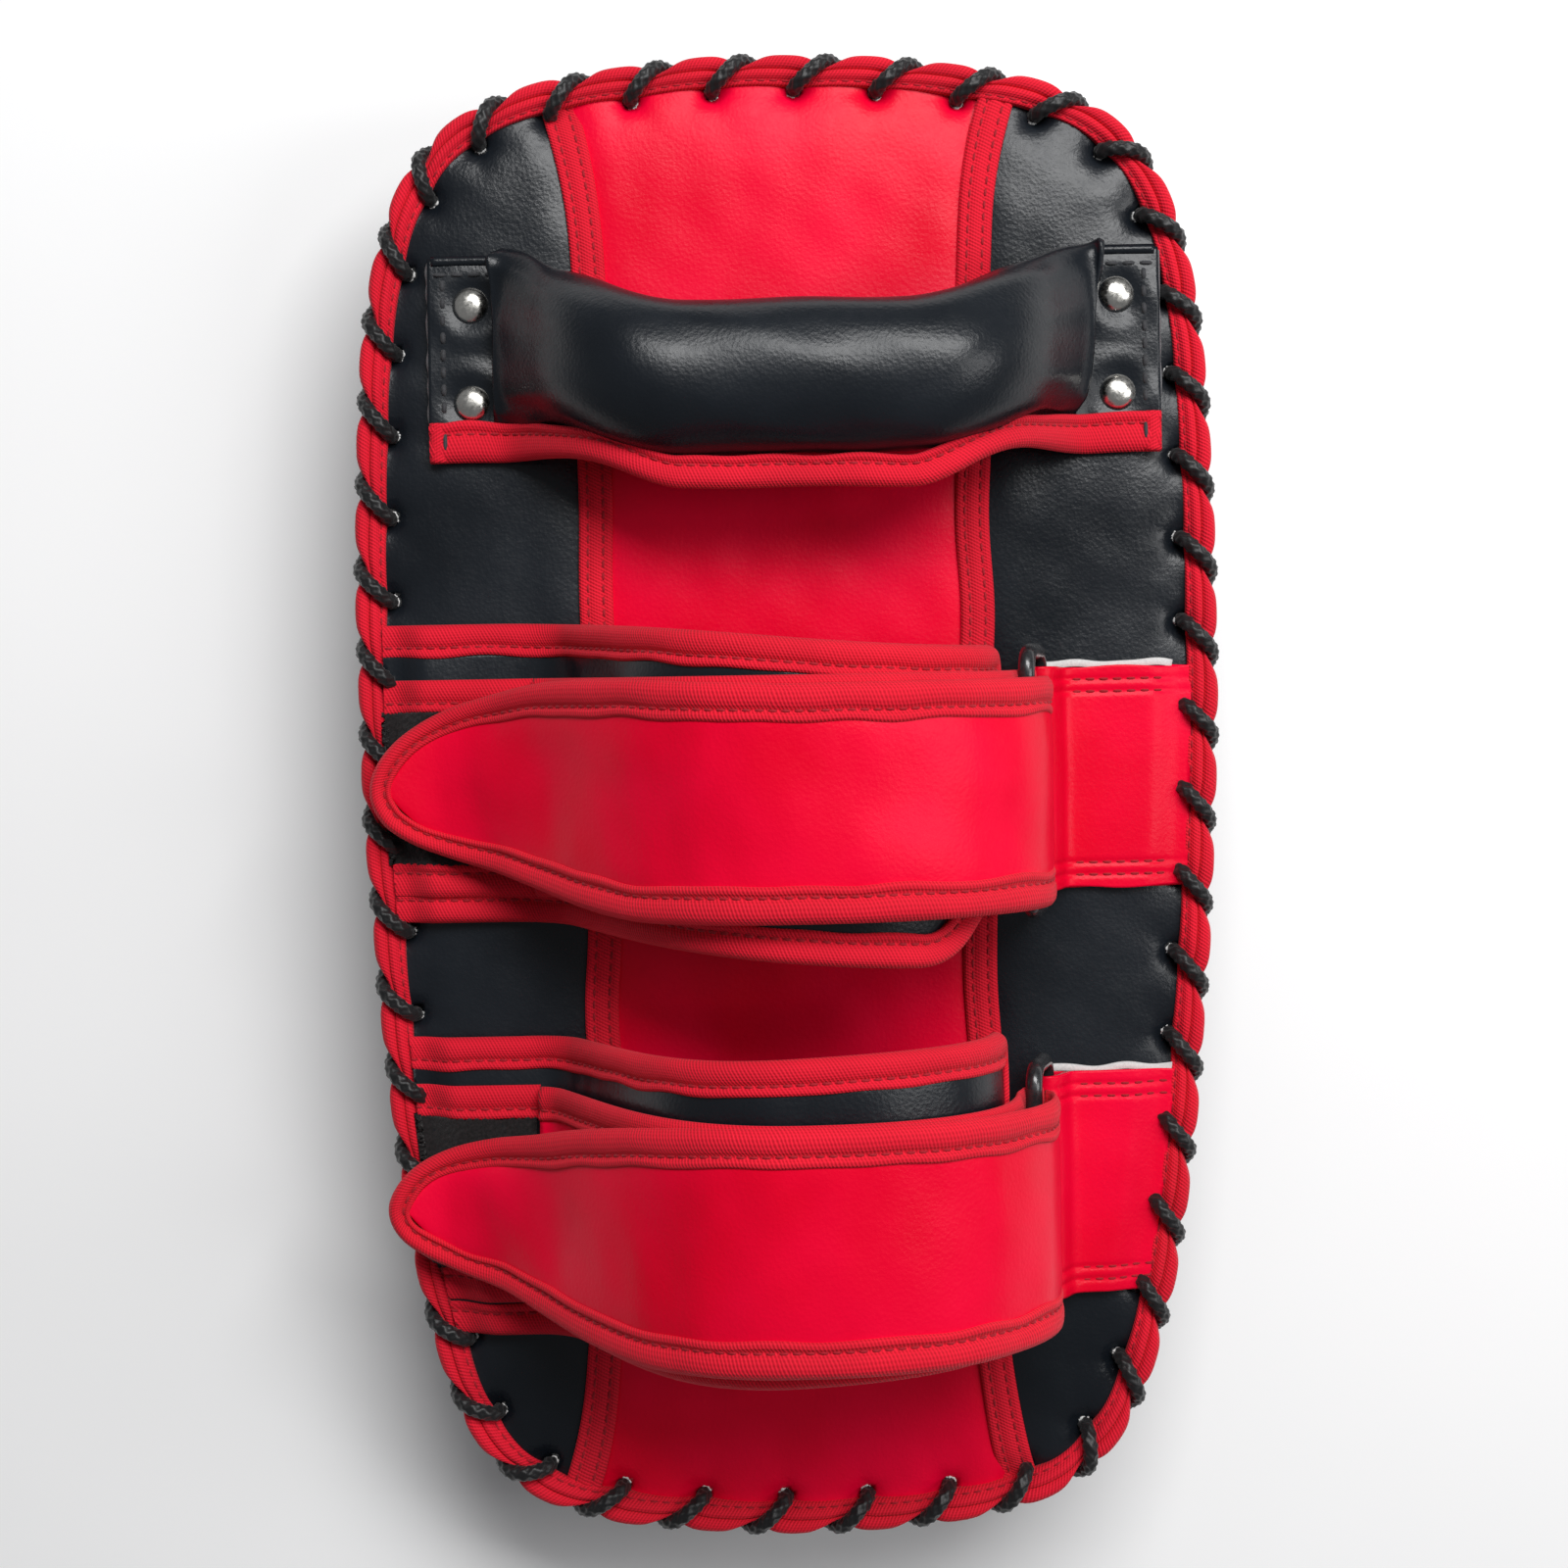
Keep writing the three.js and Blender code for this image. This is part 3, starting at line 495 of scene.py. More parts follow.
PAD_SCALE = 385.6  # millimetres of the rear face that the picture is wide
CAMERA_UP = 600.0  # above the rear face
CAMERA_XY, CAMERA_SHIFT = (-0.85, 31.3), 28.9
CAMERA_ROLL = -0.018  # the pad lies a little turned in the photograph


def studio():
    scene = bpy.context.scene
    scene.view_settings.view_transform = "Standard"
    data = bpy.data.cameras.new("camera")
    data.sensor_width = 36
    data.lens = 36 * CAMERA_UP / PAD_SCALE
    data.shift_y = -CAMERA_SHIFT / PAD_SCALE
    data.clip_start, data.clip_end = 0.05, 20
    camera = bpy.data.objects.new("camera", data)
    camera.location = (CAMERA_XY[0] * MM, CAMERA_XY[1] * MM, (REAR + CAMERA_UP) * MM)
    camera.rotation_euler.z = CAMERA_ROLL
    scene.collection.objects.link(camera)
    scene.camera = camera

    def area(name, at, aim, size, power):
        light = bpy.data.lights.new(name, "AREA")
        light.shape, light.size, light.size_y = "RECTANGLE", size[0], size[1]
        light.energy = power
        lamp = bpy.data.objects.new(name, light)
        lamp.location = at
        lamp.rotation_mode = "QUATERNION"
        lamp.rotation_quaternion = (Vector(aim) - Vector(at)).to_track_quat("-Z", "Y")
        scene.collection.objects.link(lamp)

    area("key", (0.24, 0.60, 1.0), (0.0, 0.05, 0.05), (0.9, 0.42), 14)
    area("side", (0.95, 0.05, 0.85), (0, 0, 0.05), (0.35, 0.7), 3.6)
    world = bpy.data.worlds.new("soft_studio")
    world.use_nodes = True
    world.node_tree.nodes["Background"].inputs[0].default_value = (0.95, 0.97, 1.0, 1)
    world.node_tree.nodes["Background"].inputs[1].default_value = 0.17
    scene.world = world

    floor = Surface("pale_floor", Roughness=0.75, Specular_IOR_Level=0.2)
    look = floor.feed(
        Base_Color=floor.mix(floor.noise(9, 3), (0.94, 0.94, 0.94, 1), (0.97, 0.97, 0.97, 1)),
        Normal=floor.bump(floor.noise(300, 2), 0.05, 0.2),
    )
    mesh = bpy.data.meshes.new("floor")
    mesh.from_pydata([(-3, -3, 0), (3, -3, 0), (3, 3, 0), (-3, 3, 0)], [], [(0, 1, 2, 3)])
    mesh.materials.append(look)
    ground = bpy.data.objects.new("floor", mesh)
    ground.location.z = -0.0006
    scene.collection.objects.link(ground)
    ground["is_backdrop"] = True


studio()

# ------------------------------------------------------------------ outline


class Outline:
    """The pad's outline, by length run anticlockwise from +X, seen from the rear face."""

    def __init__(self):
        count = 4096
        angle = np.arange(count) * TAU / count
        low, high = np.full(count, 50.0), np.full(count, 260.0)
        for _ in range(40):
            r = (low + high) / 2
            x, y = r * np.cos(angle), r * np.sin(angle)
            wide = HALF_WIDTH - SIDE_BOW * (y - WIDEST_Y) ** 2
            tall = HALF_LENGTH - END_BOW * x * x
            inside = np.abs(x / wide) ** CORNER_SHARPNESS + np.abs(y / tall) ** CORNER_SHARPNESS < 1
            low, high = np.where(inside, r, low), np.where(inside, high, r)
        self.xy = np.stack([low * np.cos(angle), low * np.sin(angle)], -1)
        along = unit(np.roll(self.xy, -1, 0) - np.roll(self.xy, 1, 0))
        self.out = np.stack([along[:, 1], -along[:, 0]], -1)
        self.runs = run_length(self.xy, True)
        self.length = self.runs[-1]

    def at(self, run, inset=0.0, z=0.0):
        """Points at that run, moved in by inset, at height z."""
        run = np.asarray(run, float) % self.length
        xy = np.concatenate([self.xy, self.xy[:1]])
        out = np.concatenate([self.out, self.out[:1]])
        p, n = columns(run, self.runs, xy), unit(columns(run, self.runs, out))
        p = p - n * np.asarray(inset, float)[..., None]
        return xyz(p[..., 0], p[..., 1], z)

    def around(self, step):
        """Runs the whole way round, evenly spaced by about step."""
        run = np.arange(0, self.length, step)
        return run * self.length / (run[-1] + step)

    def inside(self, xy):
        """(inset, run) of points near or inside the outline."""
        xy = xy.reshape(-1, 2)
        near = np.empty(len(xy), int)
        coarse = self.xy[::8]
        for i in range(0, len(xy), 4000):
            d = np.linalg.norm(xy[i:i + 4000, None] - coarse[None], axis=-1)
            near[i:i + 4000] = d.argmin(1) * 8
        inset = -np.einsum("ij,ij->i", xy - self.xy[near], self.out[near])
        along = np.stack([-self.out[near][:, 1], self.out[near][:, 0]], -1)
        run = self.runs[near] + np.einsum("ij,ij->i", xy - self.xy[near], along)
        return inset, run % self.length


edge = Outline()
PITCH = edge.length / STITCHES
hole_runs = -np.arange(STITCHES) * PITCH


def seam_x(y):
    return SEAM_X + SEAM_FLARE * np.abs(y / 170) ** 8


def near_stitch(run, forward, width):
    """1 where the lace crosses, falling to 0 away from it. forward is how far past its hole."""
    gap = (np.asarray(run) + forward + PITCH / 2) % PITCH - PITCH / 2
    return np.exp(-((gap / width) ** 2))


def punch(points, quads, centres, radius):
    """Cuts round holes: drops the faces in them and moves the rim on to the circle."""
    tree = kdtree.KDTree(len(centres))
    for i, c in enumerate(centres):
        tree.insert(Vector(c), i)
    tree.balance()
    points = points.copy()
    middle = points[quads].mean(1)
    kept = np.array([tree.find(Vector(m))[2] > radius * 0.8 for m in middle])
    for i in np.unique(quads[kept]):
        at, _, gap = tree.find(Vector(points[i]))
        if gap < radius * 1.25:
            away = unit(points[i] - np.array(at))
            points[i] = np.array(at) + away * radius
    return points, quads[kept]


def panels(step, reach_x, reach_y, limit, rim, seam_gap=None):
    """Yields the side, look, flat points and faces of a face's left, right and centre panels.

    Vertices past the edge, within rim of it, or near the seam are moved on to it, so that the cut
    is clean."""
    gx, gy = np.meshgrid(np.arange(-reach_x, reach_x + 0.1, step),
                         np.arange(-reach_y, reach_y + 0.1, step), indexing="ij")
    x, y = gx.ravel(), gy.ravel()
    quads = grid_quads(*gx.shape)
    inset, run = edge.inside(np.stack([x, y], -1))
    seam = np.abs(x) - seam_x(y)
    good = inset[quads].mean(1) > limit
    mid_seam, mid_x = seam[quads].mean(1), x[quads].mean(1)
    for side, mask, look in (
        ("left", (mid_seam > 0) & (mid_x < 0), BLACK),
        ("right", (mid_seam > 0) & (mid_x > 0), BLACK),
        ("centre", mid_seam < 0, RED),
    ):
        faces = quads[good & mask]
        used = np.unique(faces)
        p = xyz(x, y, 0)
        if seam_gap is not None:
            close = used[np.abs(seam[used]) < step * 0.75]
            gap = -seam_gap if side == "centre" else seam_gap
            p[close, 0] = np.sign(x[close]) * (seam_x(y[close]) + gap)
        short = used[inset[used] < limit + rim]
        p[short, :2] = edge.at(run[short], limit)[:, :2]
        yield side, look, p, faces


# ------------------------------------------------------------------ rear face


def rear_height(x, y):
    """Height of the leatherette over the foam: full between seams, pulled down at every hole."""
    inset, run = edge.inside(np.stack([x, y], -1))
    seam = np.abs(x) - seam_x(y)
    full = 1.7 * (1 - np.exp(-np.maximum(inset - 4, 0) / 9))
    full -= 1.1 * np.exp(-((seam / 6) ** 2))
    hole = edge.at(hole_runs, HOLE_INSET)[:, :2]
    step = np.round(-run / PITCH).astype(int) % STITCHES
    offset = np.stack([x, y], -1) - hole[step]
    gap = np.linalg.norm(offset, axis=-1)
    angle = np.arctan2(offset[:, 1], offset[:, 0])
    pull = -1.8 * np.exp(-((gap / 3.0) ** 2)) - 0.7 * np.exp(-gap / 6)
    creases = 0.22 * np.exp(-gap / 7) * np.cos(5 * angle + 1.7 * step)
    swell = 0.6 * np.exp(-np.maximum(inset - 4, 0) / 6) * (0.4 - near_stitch(run, 0, 6))
    broad = 0.45 * ripple(3, 70, x, y) + 0.10 * ripple(4, 19, x, y)
    return REAR - 0.9 + full + pull + creases + swell + broad


def rear_panels():
    centres = edge.at(hole_runs, HOLE_INSET)
    for side, look, p, faces in panels(1.3, 101, 177, PANEL_EDGE, 0):
        p, faces = punch(p, faces, centres, HOLE_RADIUS)
        p[:, 2] = rear_height(p[:, 0], p[:, 1])
        shape = Shape()
        shape.add(p, faces)
        node = f"rear_panel_{side}"
        piece = shape.build(f"{node}_skin", look, [node], thick=1.1, facing=UP)


def hole_frays():
    """Pale backing that shows where the punched holes have torn a little."""
    shape = Shape()
    rng = np.random.default_rng(11)
    for run in hole_runs:
        centre = edge.at(run, HOLE_INSET)
        toward = edge.at(run, HOLE_INSET + 1) - centre
        base = math.atan2(toward[1], toward[0])
        sweep = rng.uniform(0.5, 1.1)
        lean = rng.uniform(-0.6, 0.6)
        angle = np.linspace(base + lean - sweep, base + lean + sweep, 14)
        ragged = HOLE_RADIUS - 0.05 + rng.uniform(-0.12, 0.35, 14)
        x, y = centre[0] + ragged * np.cos(angle), centre[1] + ragged * np.sin(angle)
        size = rng.uniform(0.2, 0.5) * np.sin(np.linspace(0.25, math.pi - 0.25, 14))
        shape.strip(tube(xyz(x, y, rear_height(x, y) + 0.05), size + 0.05, 6))
    shape.build("hole_frays", BACKING)


def seam_tapes():
    sewing = Shape()
    for side, name in ((-1, "left"), (1, "right")):
        y = np.arange(-171.5, 171.6, 1.0)
        x = side * (seam_x(y) + 0.5 * ripple(21 + side, 55, y))
        base = rear_height(x, y)
        width = 4.1 + 0.5 * smooth(140, 170, np.abs(y))
        profile = np.array([
            (-1.0, -0.6), (-1.0, 0.25), (-0.86, 0.75), (-0.62, 0.85), (-0.46, 0.5), (-0.3, 0.85),
            (0.0, 1.05), (0.3, 0.85), (0.46, 0.5), (0.62, 0.85), (0.86, 0.75), (1.0, 0.25),
            (1.0, -0.6),
        ])
        p = xyz(x[:, None] + width[:, None] * profile[None, :, 0], y[:, None],
                base[:, None] + 1.0 + profile[None, :, 1])
        Shape().strip(p).build(f"seam_tape_{name}", TAPE, [f"seam_binding_{name}"])
        for offset in (-0.46, 0.46):
            threads(sewing, xyz(x + offset * width, y, base + 1.72), UP, 3.0, 2.2, 0.33)
    sewing.build("seam_stitching", RED_THREAD)


# ------------------------------------------------------------------ bound edges and lace


# The lace's route through one stitch: inset, height and how far past its hole.
STITCH = [
    (HOLE_INSET, 46.0, -0.4), (HOLE_INSET, 50.4, 0.0), (3.5, 52.9, 0.5), (1.9, 54.5, 2.2),
    (-0.3, 54.6, 4.4), (-2.2, 53.3, 6.4), (-3.2, 50.6, 8.2), (-2.9, 46.8, 10.4),
    (-1.5, 42.6, 13.0), (0.2, 39.4, 15.2), (2.6, WALL_HOLE_Z, 16.4), (4.6, 39.8, 17.4),
    (4.6, 42.8, 19.6),
]


def lace_forward(inset):
    """How far past its hole the lace is where it crosses that inset."""
    crossing = STITCH[1:7]
    return np.interp(-inset, [-c[0] for c in crossing], [c[2] for c in crossing])


def edge_tapes():
    """Two bound edges side by side, which bulge between the stitches and are pinched at each."""
    run = edge.around(0.9)
    wander = 0.3 * ripple(31, 40, edge.at(run)[:, 0], edge.at(run)[:, 1])
    inner = [
        (2.9, 48.8), (3.1, 51.2), (2.8, 51.9), (2.4, 52.0), (2.0, 51.8), (1.6, 52.3), (1.1, 52.9),
        (0.4, 53.2), (-0.3, 53.0), (-0.7, 51.8), (-0.4, 49.6), (1.0, 48.6),
    ]
    outer = [
        (-0.8, 47.0), (-0.5, 50.6), (-0.6, 52.1), (-1.2, 53.2), (-2.1, 53.4), (-3.1, 52.6),
        (-3.7, 51.1), (-3.7, 49.2), (-3.2, 47.6), (-2.5, 46.8), (-2.5, 45.8), (-2.0, 45.0),
        (-1.3, 44.9), (-0.9, 45.6),
    ]
    for name, points, node in (
        ("rear_edge_tape", inner, "rear_binding"), ("gusset_edge_tape", outer, "gusset_binding"),
    ):
        loop = catmull(points, True, 0.7)
        p = np.empty((len(run), len(loop), 3))
        for j, (inset, z) in enumerate(loop):
            pinch = near_stitch(run, lace_forward(inset), 4.2)
            slack = 0.4 - 1.1 * pinch
            lift = slack * 1.3 * smooth(48, 52, z)
            out = slack * 2.0 * smooth(0.4, -2.6, inset)
            p[:, j] = edge.at(run, inset - out + wander * 0.6, z + lift)
        Shape().lattice(p, closed_u=True, closed_v=True).build(name, TAPE, [node])
    sewing = Shape()
    slack = 0.4 - 1.1 * near_stitch(run, lace_forward(2.0), 4.2)
    lip = edge.at(run, 2.0 + wander * 0.6, 51.95 + 1.3 * slack)
    threads(sewing, lip, UP, 3.0, 2.1, 0.3, 0)
    side = edge.at(run, -2.75 + wander * 0.6, 46.6)
    out = unit(edge.at(run, -1) - edge.at(run, 0))
    threads(sewing, side, out, 3.2, 2.3, 0.3, 0)
    sewing.build("edge_stitching", RED_THREAD)


def lace():
    """One braided lace, whipped over both bound edges the whole way round."""
    rng = np.random.default_rng(5)
    points = []
    for k in range(STITCHES):
        slack = rng.uniform(-1, 1)
        for inset, z, forward in STITCH:
            top = float(z > 50 and inset < HOLE_INSET)
            run = hole_runs[k] - forward * (1 + 0.06 * slack * top)
            points.append(edge.at(run, inset + 0.25 * slack * top, z + 0.2 * slack * top))
    path = catmull(points, True, 0.4)
    middle = edge.at(edge.inside(path[:, :2])[1], 1.0, 46.0)
    rings = tube(path, 1.0, 22, unit(path - middle), closed=True)
    angle = np.arange(22) * TAU / 22
    s = run_length(path, True)[:-1, None]
    turn = TAU / 2.6
    over = np.cos(turn * s + 4 * angle[None])
    under = np.cos(turn * s - 4 * angle[None])
    braid = 0.12 * np.maximum(over, under) + 0.07 * np.minimum(over, under)
    radius = LACE_RADIUS * (0.95 + braid)
    p = path[:, None] + (rings - path[:, None]) * radius[..., None]
    Shape().lattice(p, closed_u=True, closed_v=True).build("braided_lace", LACE, ["edge_lace"])


rear_panels()
hole_frays()
seam_tapes()
edge_tapes()
lace()

# ------------------------------------------------------------------ padding


def inflate(points, faces, held, voxel, cap):
    """Swells a closed shape as stuffed cloth. Returns where its points were and how they moved."""
    scene = bpy.context.scene
    mesh = bpy.data.meshes.new("swelling")
    mesh.from_pydata((points * MM).tolist(), [], faces)
    piece = bpy.data.objects.new("swelling", mesh)
    scene.collection.objects.link(piece)
    remesh = piece.modifiers.new("remesh", "REMESH")
    remesh.mode, remesh.voxel_size = "VOXEL", voxel * MM
    even = bpy.data.meshes.new_from_object(
        piece.evaluated_get(bpy.context.evaluated_depsgraph_get())
    )
    piece.modifiers.clear()
    piece.data = even

    def where(data):
        co = np.empty(len(data.vertices) * 3)
        data.vertices.foreach_get("co", co)
        return co.reshape(-1, 3) / MM

    rest = where(even)
    group = piece.vertex_groups.new(name="held")
    for i, weight in enumerate(held(rest)):
        group.add([i], float(weight), "REPLACE")
    cloth = piece.modifiers.new("cloth", "CLOTH")
    cloth.settings.use_pressure = True
    cloth.settings.uniform_pressure_force = 4.0
    cloth.settings.effector_weights.gravity = 0
    cloth.settings.vertex_group_mass = "held"
    cloth.point_cache.frame_start, cloth.point_cache.frame_end = 1, 20
    for frame_number in range(1, 21):
        scene.frame_set(frame_number)
    swollen = piece.evaluated_get(bpy.context.evaluated_depsgraph_get())
    shift = where(swollen.data) - rest
    bpy.data.objects.remove(piece)
    scene.frame_set(1)
    size = np.linalg.norm(shift, axis=1, keepdims=True)
    return rest, shift * np.minimum(1, cap / np.maximum(size, 1e-6))


class Swell:
    """How far the stuffing pushes a point out, from a swollen shape's nearest points."""

    def __init__(self, rest, shift):
        self.shift = shift
        self.tree = kdtree.KDTree(len(rest))
        for i, p in enumerate(rest):
            self.tree.insert(Vector(p), i)
        self.tree.balance()

    def __call__(self, points):
        out = np.empty((len(points), 3))
        for k, p in enumerate(points):
            found = self.tree.find_n(Vector(p), 6)
            weight = np.array([1 / (f[2] ** 2 + 4) for f in found])
            out[k] = weight @ self.shift[[f[1] for f in found]] / weight.sum()
        return out


def swollen_body():
    profile = [(3, 50.4), (0, 49.0), (1.4, 40), (2.0, 30), (3.2, 18), (6, 9), (11, 4), (15, 1)]
    run = np.arange(0, edge.length, 5.0)
    p = np.stack([edge.at(run, inset, z) for inset, z in profile])
    holes = edge.at(hole_runs, HOLE_INSET)[:, :2]

    def held(rest):
        inset, _ = edge.inside(rest[:, :2])
        seam = np.abs(np.abs(rest[:, 0]) - seam_x(rest[:, 1]))
        hole = np.min(np.linalg.norm(rest[:, None, :2] - holes[None], axis=-1), axis=1)
        top = rest[:, 2] > 46
        fixed = top & ((inset < 5) | (seam < 4) | (hole < 4.5))
        return (fixed | (rest[:, 2] < 3)).astype(float)

    return Swell(*inflate(p.reshape(-1, 3), tube_faces(*p.shape[:2]), held, voxel=5.5, cap=3.0))


# ------------------------------------------------------------------ gusset and strike face

# The gusset's profile: inset and height, from the rear edge down to the piping.
WALL = [
    (-2.0, 50.5), (-2.2, 47.6), (-1.5, 44.4), (-0.1, 40.6), (0.9, 36.0), (1.1, 30.0), (1.5, 23.0),
    (2.7, 16.0), (5.2, 9.8), (8.2, 6.2), (10.4, 4.6), (11.6, 3.9),
]
PIPING_INSET, PIPING_Z, PIPING_RADIUS = 12.2, 3.6, 1.8
WALL_FORWARD = 16.4


def gusset(swell):
    run = edge.around(1.3)
    profile = catmull(WALL, False, 1.3)
    p = np.stack([edge.at(run, inset, z) for inset, z in profile], 1)
    holes = edge.at(hole_runs - WALL_FORWARD, 0.55, WALL_HOLE_Z)
    quads = grid_quads(*p.shape[:2], closed_u=True)
    flat, quads = punch(p.reshape(-1, 3), quads, holes, 1.9)
    away = unit(flat * [0.14, 0.07, 0])
    runs = np.repeat(run, len(profile))
    z = flat[:, 2]
    push = swell(flat)
    pull = near_stitch(runs, WALL_FORWARD, 4.0) * np.exp(-(((z - WALL_HOLE_Z) / 5) ** 2))
    gathers = near_stitch(runs, WALL_FORWARD - 11, 5.5) * smooth(24, 42, z)
    fold = ripple(41, 70, flat[:, 0], flat[:, 1], 2.2 * z)
    crease = ripple(42, 15, runs * 0.6, z * 0.2) * smooth(10, 34, z)
    depth = -1.1 * pull + 0.7 * gathers + 0.5 * fold * smooth(3, 12, z) + 0.3 * crease
    depth *= 1 - smooth(44, 49, z)
    flat = flat + push * (1 - smooth(42, 48, z))[:, None] * 0.9 + away * depth[:, None]
    shape = Shape()
    shape.add(flat, quads)
    piece = shape.build("gusset_skin", BLACK, ["side_gusset"], thick=1.0,
                        facing=lambda q: q * [1, 1, 0])

    # The gusset's ends meet in a sewn seam at the middle of the elbow end.
    middle = edge.runs[np.argmin(np.abs(edge.xy[:, 0]) + (edge.xy[:, 1] > 0) * 999)]
    sewing = Shape()
    for offset in (-2.6, 2.6):
        line = np.stack([edge.at(middle + offset, inset, z) for inset, z in profile[8:-3]])
        line = line + swell(line) * 0.9
        out = unit(edge.at(middle, -1) - edge.at(middle, 0))
        threads(sewing, line + out * 0.35, out, 3.2, 2.4, 0.3, 0)
    sewing.build("gusset_stitching", BLACK_THREAD)


def piping():
    line = edge.at(edge.around(1.4), PIPING_INSET, PIPING_Z)
    size = PIPING_RADIUS * (1 + 0.04 * ripple(51, 30, line[:, 0], line[:, 1]))
    cover = Shape().lattice(tube(line, size, 14, closed=True), closed_u=True, closed_v=True)
    cover.build("strike_piping_cover", TAPE, ["strike_piping"])


def strike_face():
    """Three panels joined by turned seams, lying almost flat, with topstitching beside each."""
    step, limit = 2.0, 12.8
    for side, look, p, faces in panels(step, 92, 168, limit, step * 0.6, 0.15):
        x, y = p[:, 0], p[:, 1]
        inset, _ = edge.inside(p[:, :2])
        gap = np.abs(x) - seam_x(y)
        z = 0.25 + 1.3 * np.exp(-((gap / 2.2) ** 2))
        z = z + 2.6 * np.exp(-np.maximum(inset - limit, 0) / 2.6)
        p[:, 2] = z + 0.12 * (1 + ripple(61, 45, x, y))
        shape = Shape()
        shape.add(p, faces)
        node = f"strike_panel_{side}"
        piece = shape.build(f"{node}_skin", look, [node], thick=1.0, facing=-UP)
    y = np.arange(-158, 158.1, 2.0)
    for tint, slot, offset, name in (
        (BLACK_THREAD, "black_leatherette", 3.6, "outer"),
        (RED_THREAD, "red_leatherette", -3.6, "inner"),
    ):
        sewing = Shape()
        for side in (-1, 1):
            threads(sewing, xyz(side * (seam_x(y) + offset), y, 0.32), -UP, 3.4, 2.5, 0.28, 0)
        sewing.build(f"strike_stitching_{name}", tint, slot=slot)


body_swell = swollen_body()
gusset(body_swell)
piping()
strike_face()

# ------------------------------------------------------------------ straps


def resample(points, step):
    total = run_length(points)
    at = np.linspace(0, total[-1], max(2, int(round(total[-1] / step)) + 1))
    return columns(at, total, points)


def bezier(a, b, c, d):
    t = np.linspace(0, 1, 120)[:, None]
    a, b, c, d = (np.array(p, float) for p in (a, b, c, d))
    return (1 - t) ** 3 * a + 3 * (1 - t) ** 2 * t * b + 3 * (1 - t) * t**2 * c + t**3 * d


def arch_line(crest):
    """The wrap strap's line in X and height over the rear face."""
    bend, lean, foot, rise = 15.0, math.radians(59), -64.5, 0.45 * crest
    angle = np.linspace(0, lean, 60)
    arc = np.stack([foot + bend * np.sin(angle), WRAP_FLAT + bend * (1 - np.cos(angle))], -1)
    up = arc[-1] + rise * np.array([math.cos(lean), math.sin(lean)])
    first = bezier(arc[-1], up, (-27, crest), (0, crest))
    second = bezier((0, crest), (26, crest), (ARCH_SIDE_X, 0.82 * crest), (ARCH_SIDE_X, 25))
    return resample(np.concatenate([[[-104, WRAP_FLAT]], arc, first[1:], second[1:]]), 0.5)


def soften(line, start, end, window):
    """Rounds off a line's bends between two values of X."""
    mean = averaged(line, int(window / 0.5) | 1)
    share = smooth(start, start + 10, line[:, 0]) * (1 - smooth(end - 10, end, line[:, 0]))
    return line + (mean - line) * share[:, None]


def taut(line, start):
    """Pulls a line straight from its point at X = start to the crest that it runs up to."""
    first = int(np.argmax(line[:, 0] > start))
    x, z = (line[first + 1:] - line[first]).T
    rising = (x > 1) & (line[first + 1:, 0] < -8)
    last = first + 1 + int(np.argmax(np.where(rising, z / np.maximum(x, 1), -9)))
    return np.concatenate([line[:first + 1], line[last:]])


class Track:
    """A strap's line, on which pieces are laid out flat: s along it, v across it, h over it."""

    def __init__(self, line, y, lean=(0, 0)):
        self.line, self.y, self.lean = line, y, lean
        self.runs = run_length(line)
        self.length = self.runs[-1]
        along = unit(np.gradient(line, axis=0))
        normal = np.stack([-along[:, 1], along[:, 0]], -1)
        self.normals = unit(averaged(normal, 9))

    def shifted(self, offset):
        share = self.runs / self.length
        return self.line + self.normals * np.broadcast_to(offset(share), share.shape)[:, None]

    def normal(self, s):
        n = unit(columns(s, self.runs, self.normals))
        return xyz(n[..., 0], 0, n[..., 1])

    def place(self, s, v, h=0.0):
        s, v = np.broadcast_arrays(np.asarray(s, float), np.asarray(v, float))
        x = np.interp(s, self.runs, self.line[:, 0])
        z = np.interp(s, self.runs, self.line[:, 1])
        share = smooth(-72, 44, x)
        y = self.y + self.lean[0] * (1 - share) + self.lean[1] * share + v
        return xyz(x, y, REAR + z) + self.normal(s) * np.asarray(h, float)[..., None]

    def run_at_x(self, x):
        """The first run at which the line reaches x."""
        top = np.maximum.accumulate(self.line[:, 0])
        return np.interp(x, top + np.arange(len(top)) * 1e-7, self.runs)


def tucked(p):
    """Sinks the ends of straps under the edge tape, and cuts them there."""
    flat = p.reshape(-1, 3).copy()
    near = np.abs(flat[:, 0]) > 70
    inset, run = edge.inside(flat[near, :2])
    z = flat[near, 2]
    keep = 1 - 0.66 * smooth(13, 4.5, inset)
    low = REAR - 0.9
    sunk = np.where(z < REAR + 9, low + (z - low) * keep, z)
    cut = edge.at(run, 2.2)
    over = inset < 2.2
    part = flat[near]
    part[:, 2] = sunk
    part[over, :2] = cut[over, :2]
    flat[near] = part
    return flat.reshape(p.shape)


def strap_skin(shape, track, s, low, high, half, puff, tuck=False, across=30, thin=None,
               face=None):
    """A padded strip between v low and high, which may differ at each s. face shapes its back."""
    low, high = (np.broadcast_to(v, s.shape)[:, None] for v in (low, high))
    w = np.concatenate([np.linspace(0, 1, across), np.linspace(1, 0, across)])[None, :]
    v = low + (high - low) * w
    top = (np.arange(2 * across) < across)[None, :]
    grid_s = np.broadcast_to(s[:, None], v.shape)
    crown = puff(grid_s, v) * (1 - np.abs(2 * w - 1) ** 6)
    half = half if thin is None else half * thin[:, None]
    back = 0.3 * np.maximum(crown, 0) if face is None else face(grid_s, v)
    h = np.where(top, half + crown, -half - back)
    p = track.place(grid_s, v, h)
    shape.strip(tucked(p) if tuck else p)


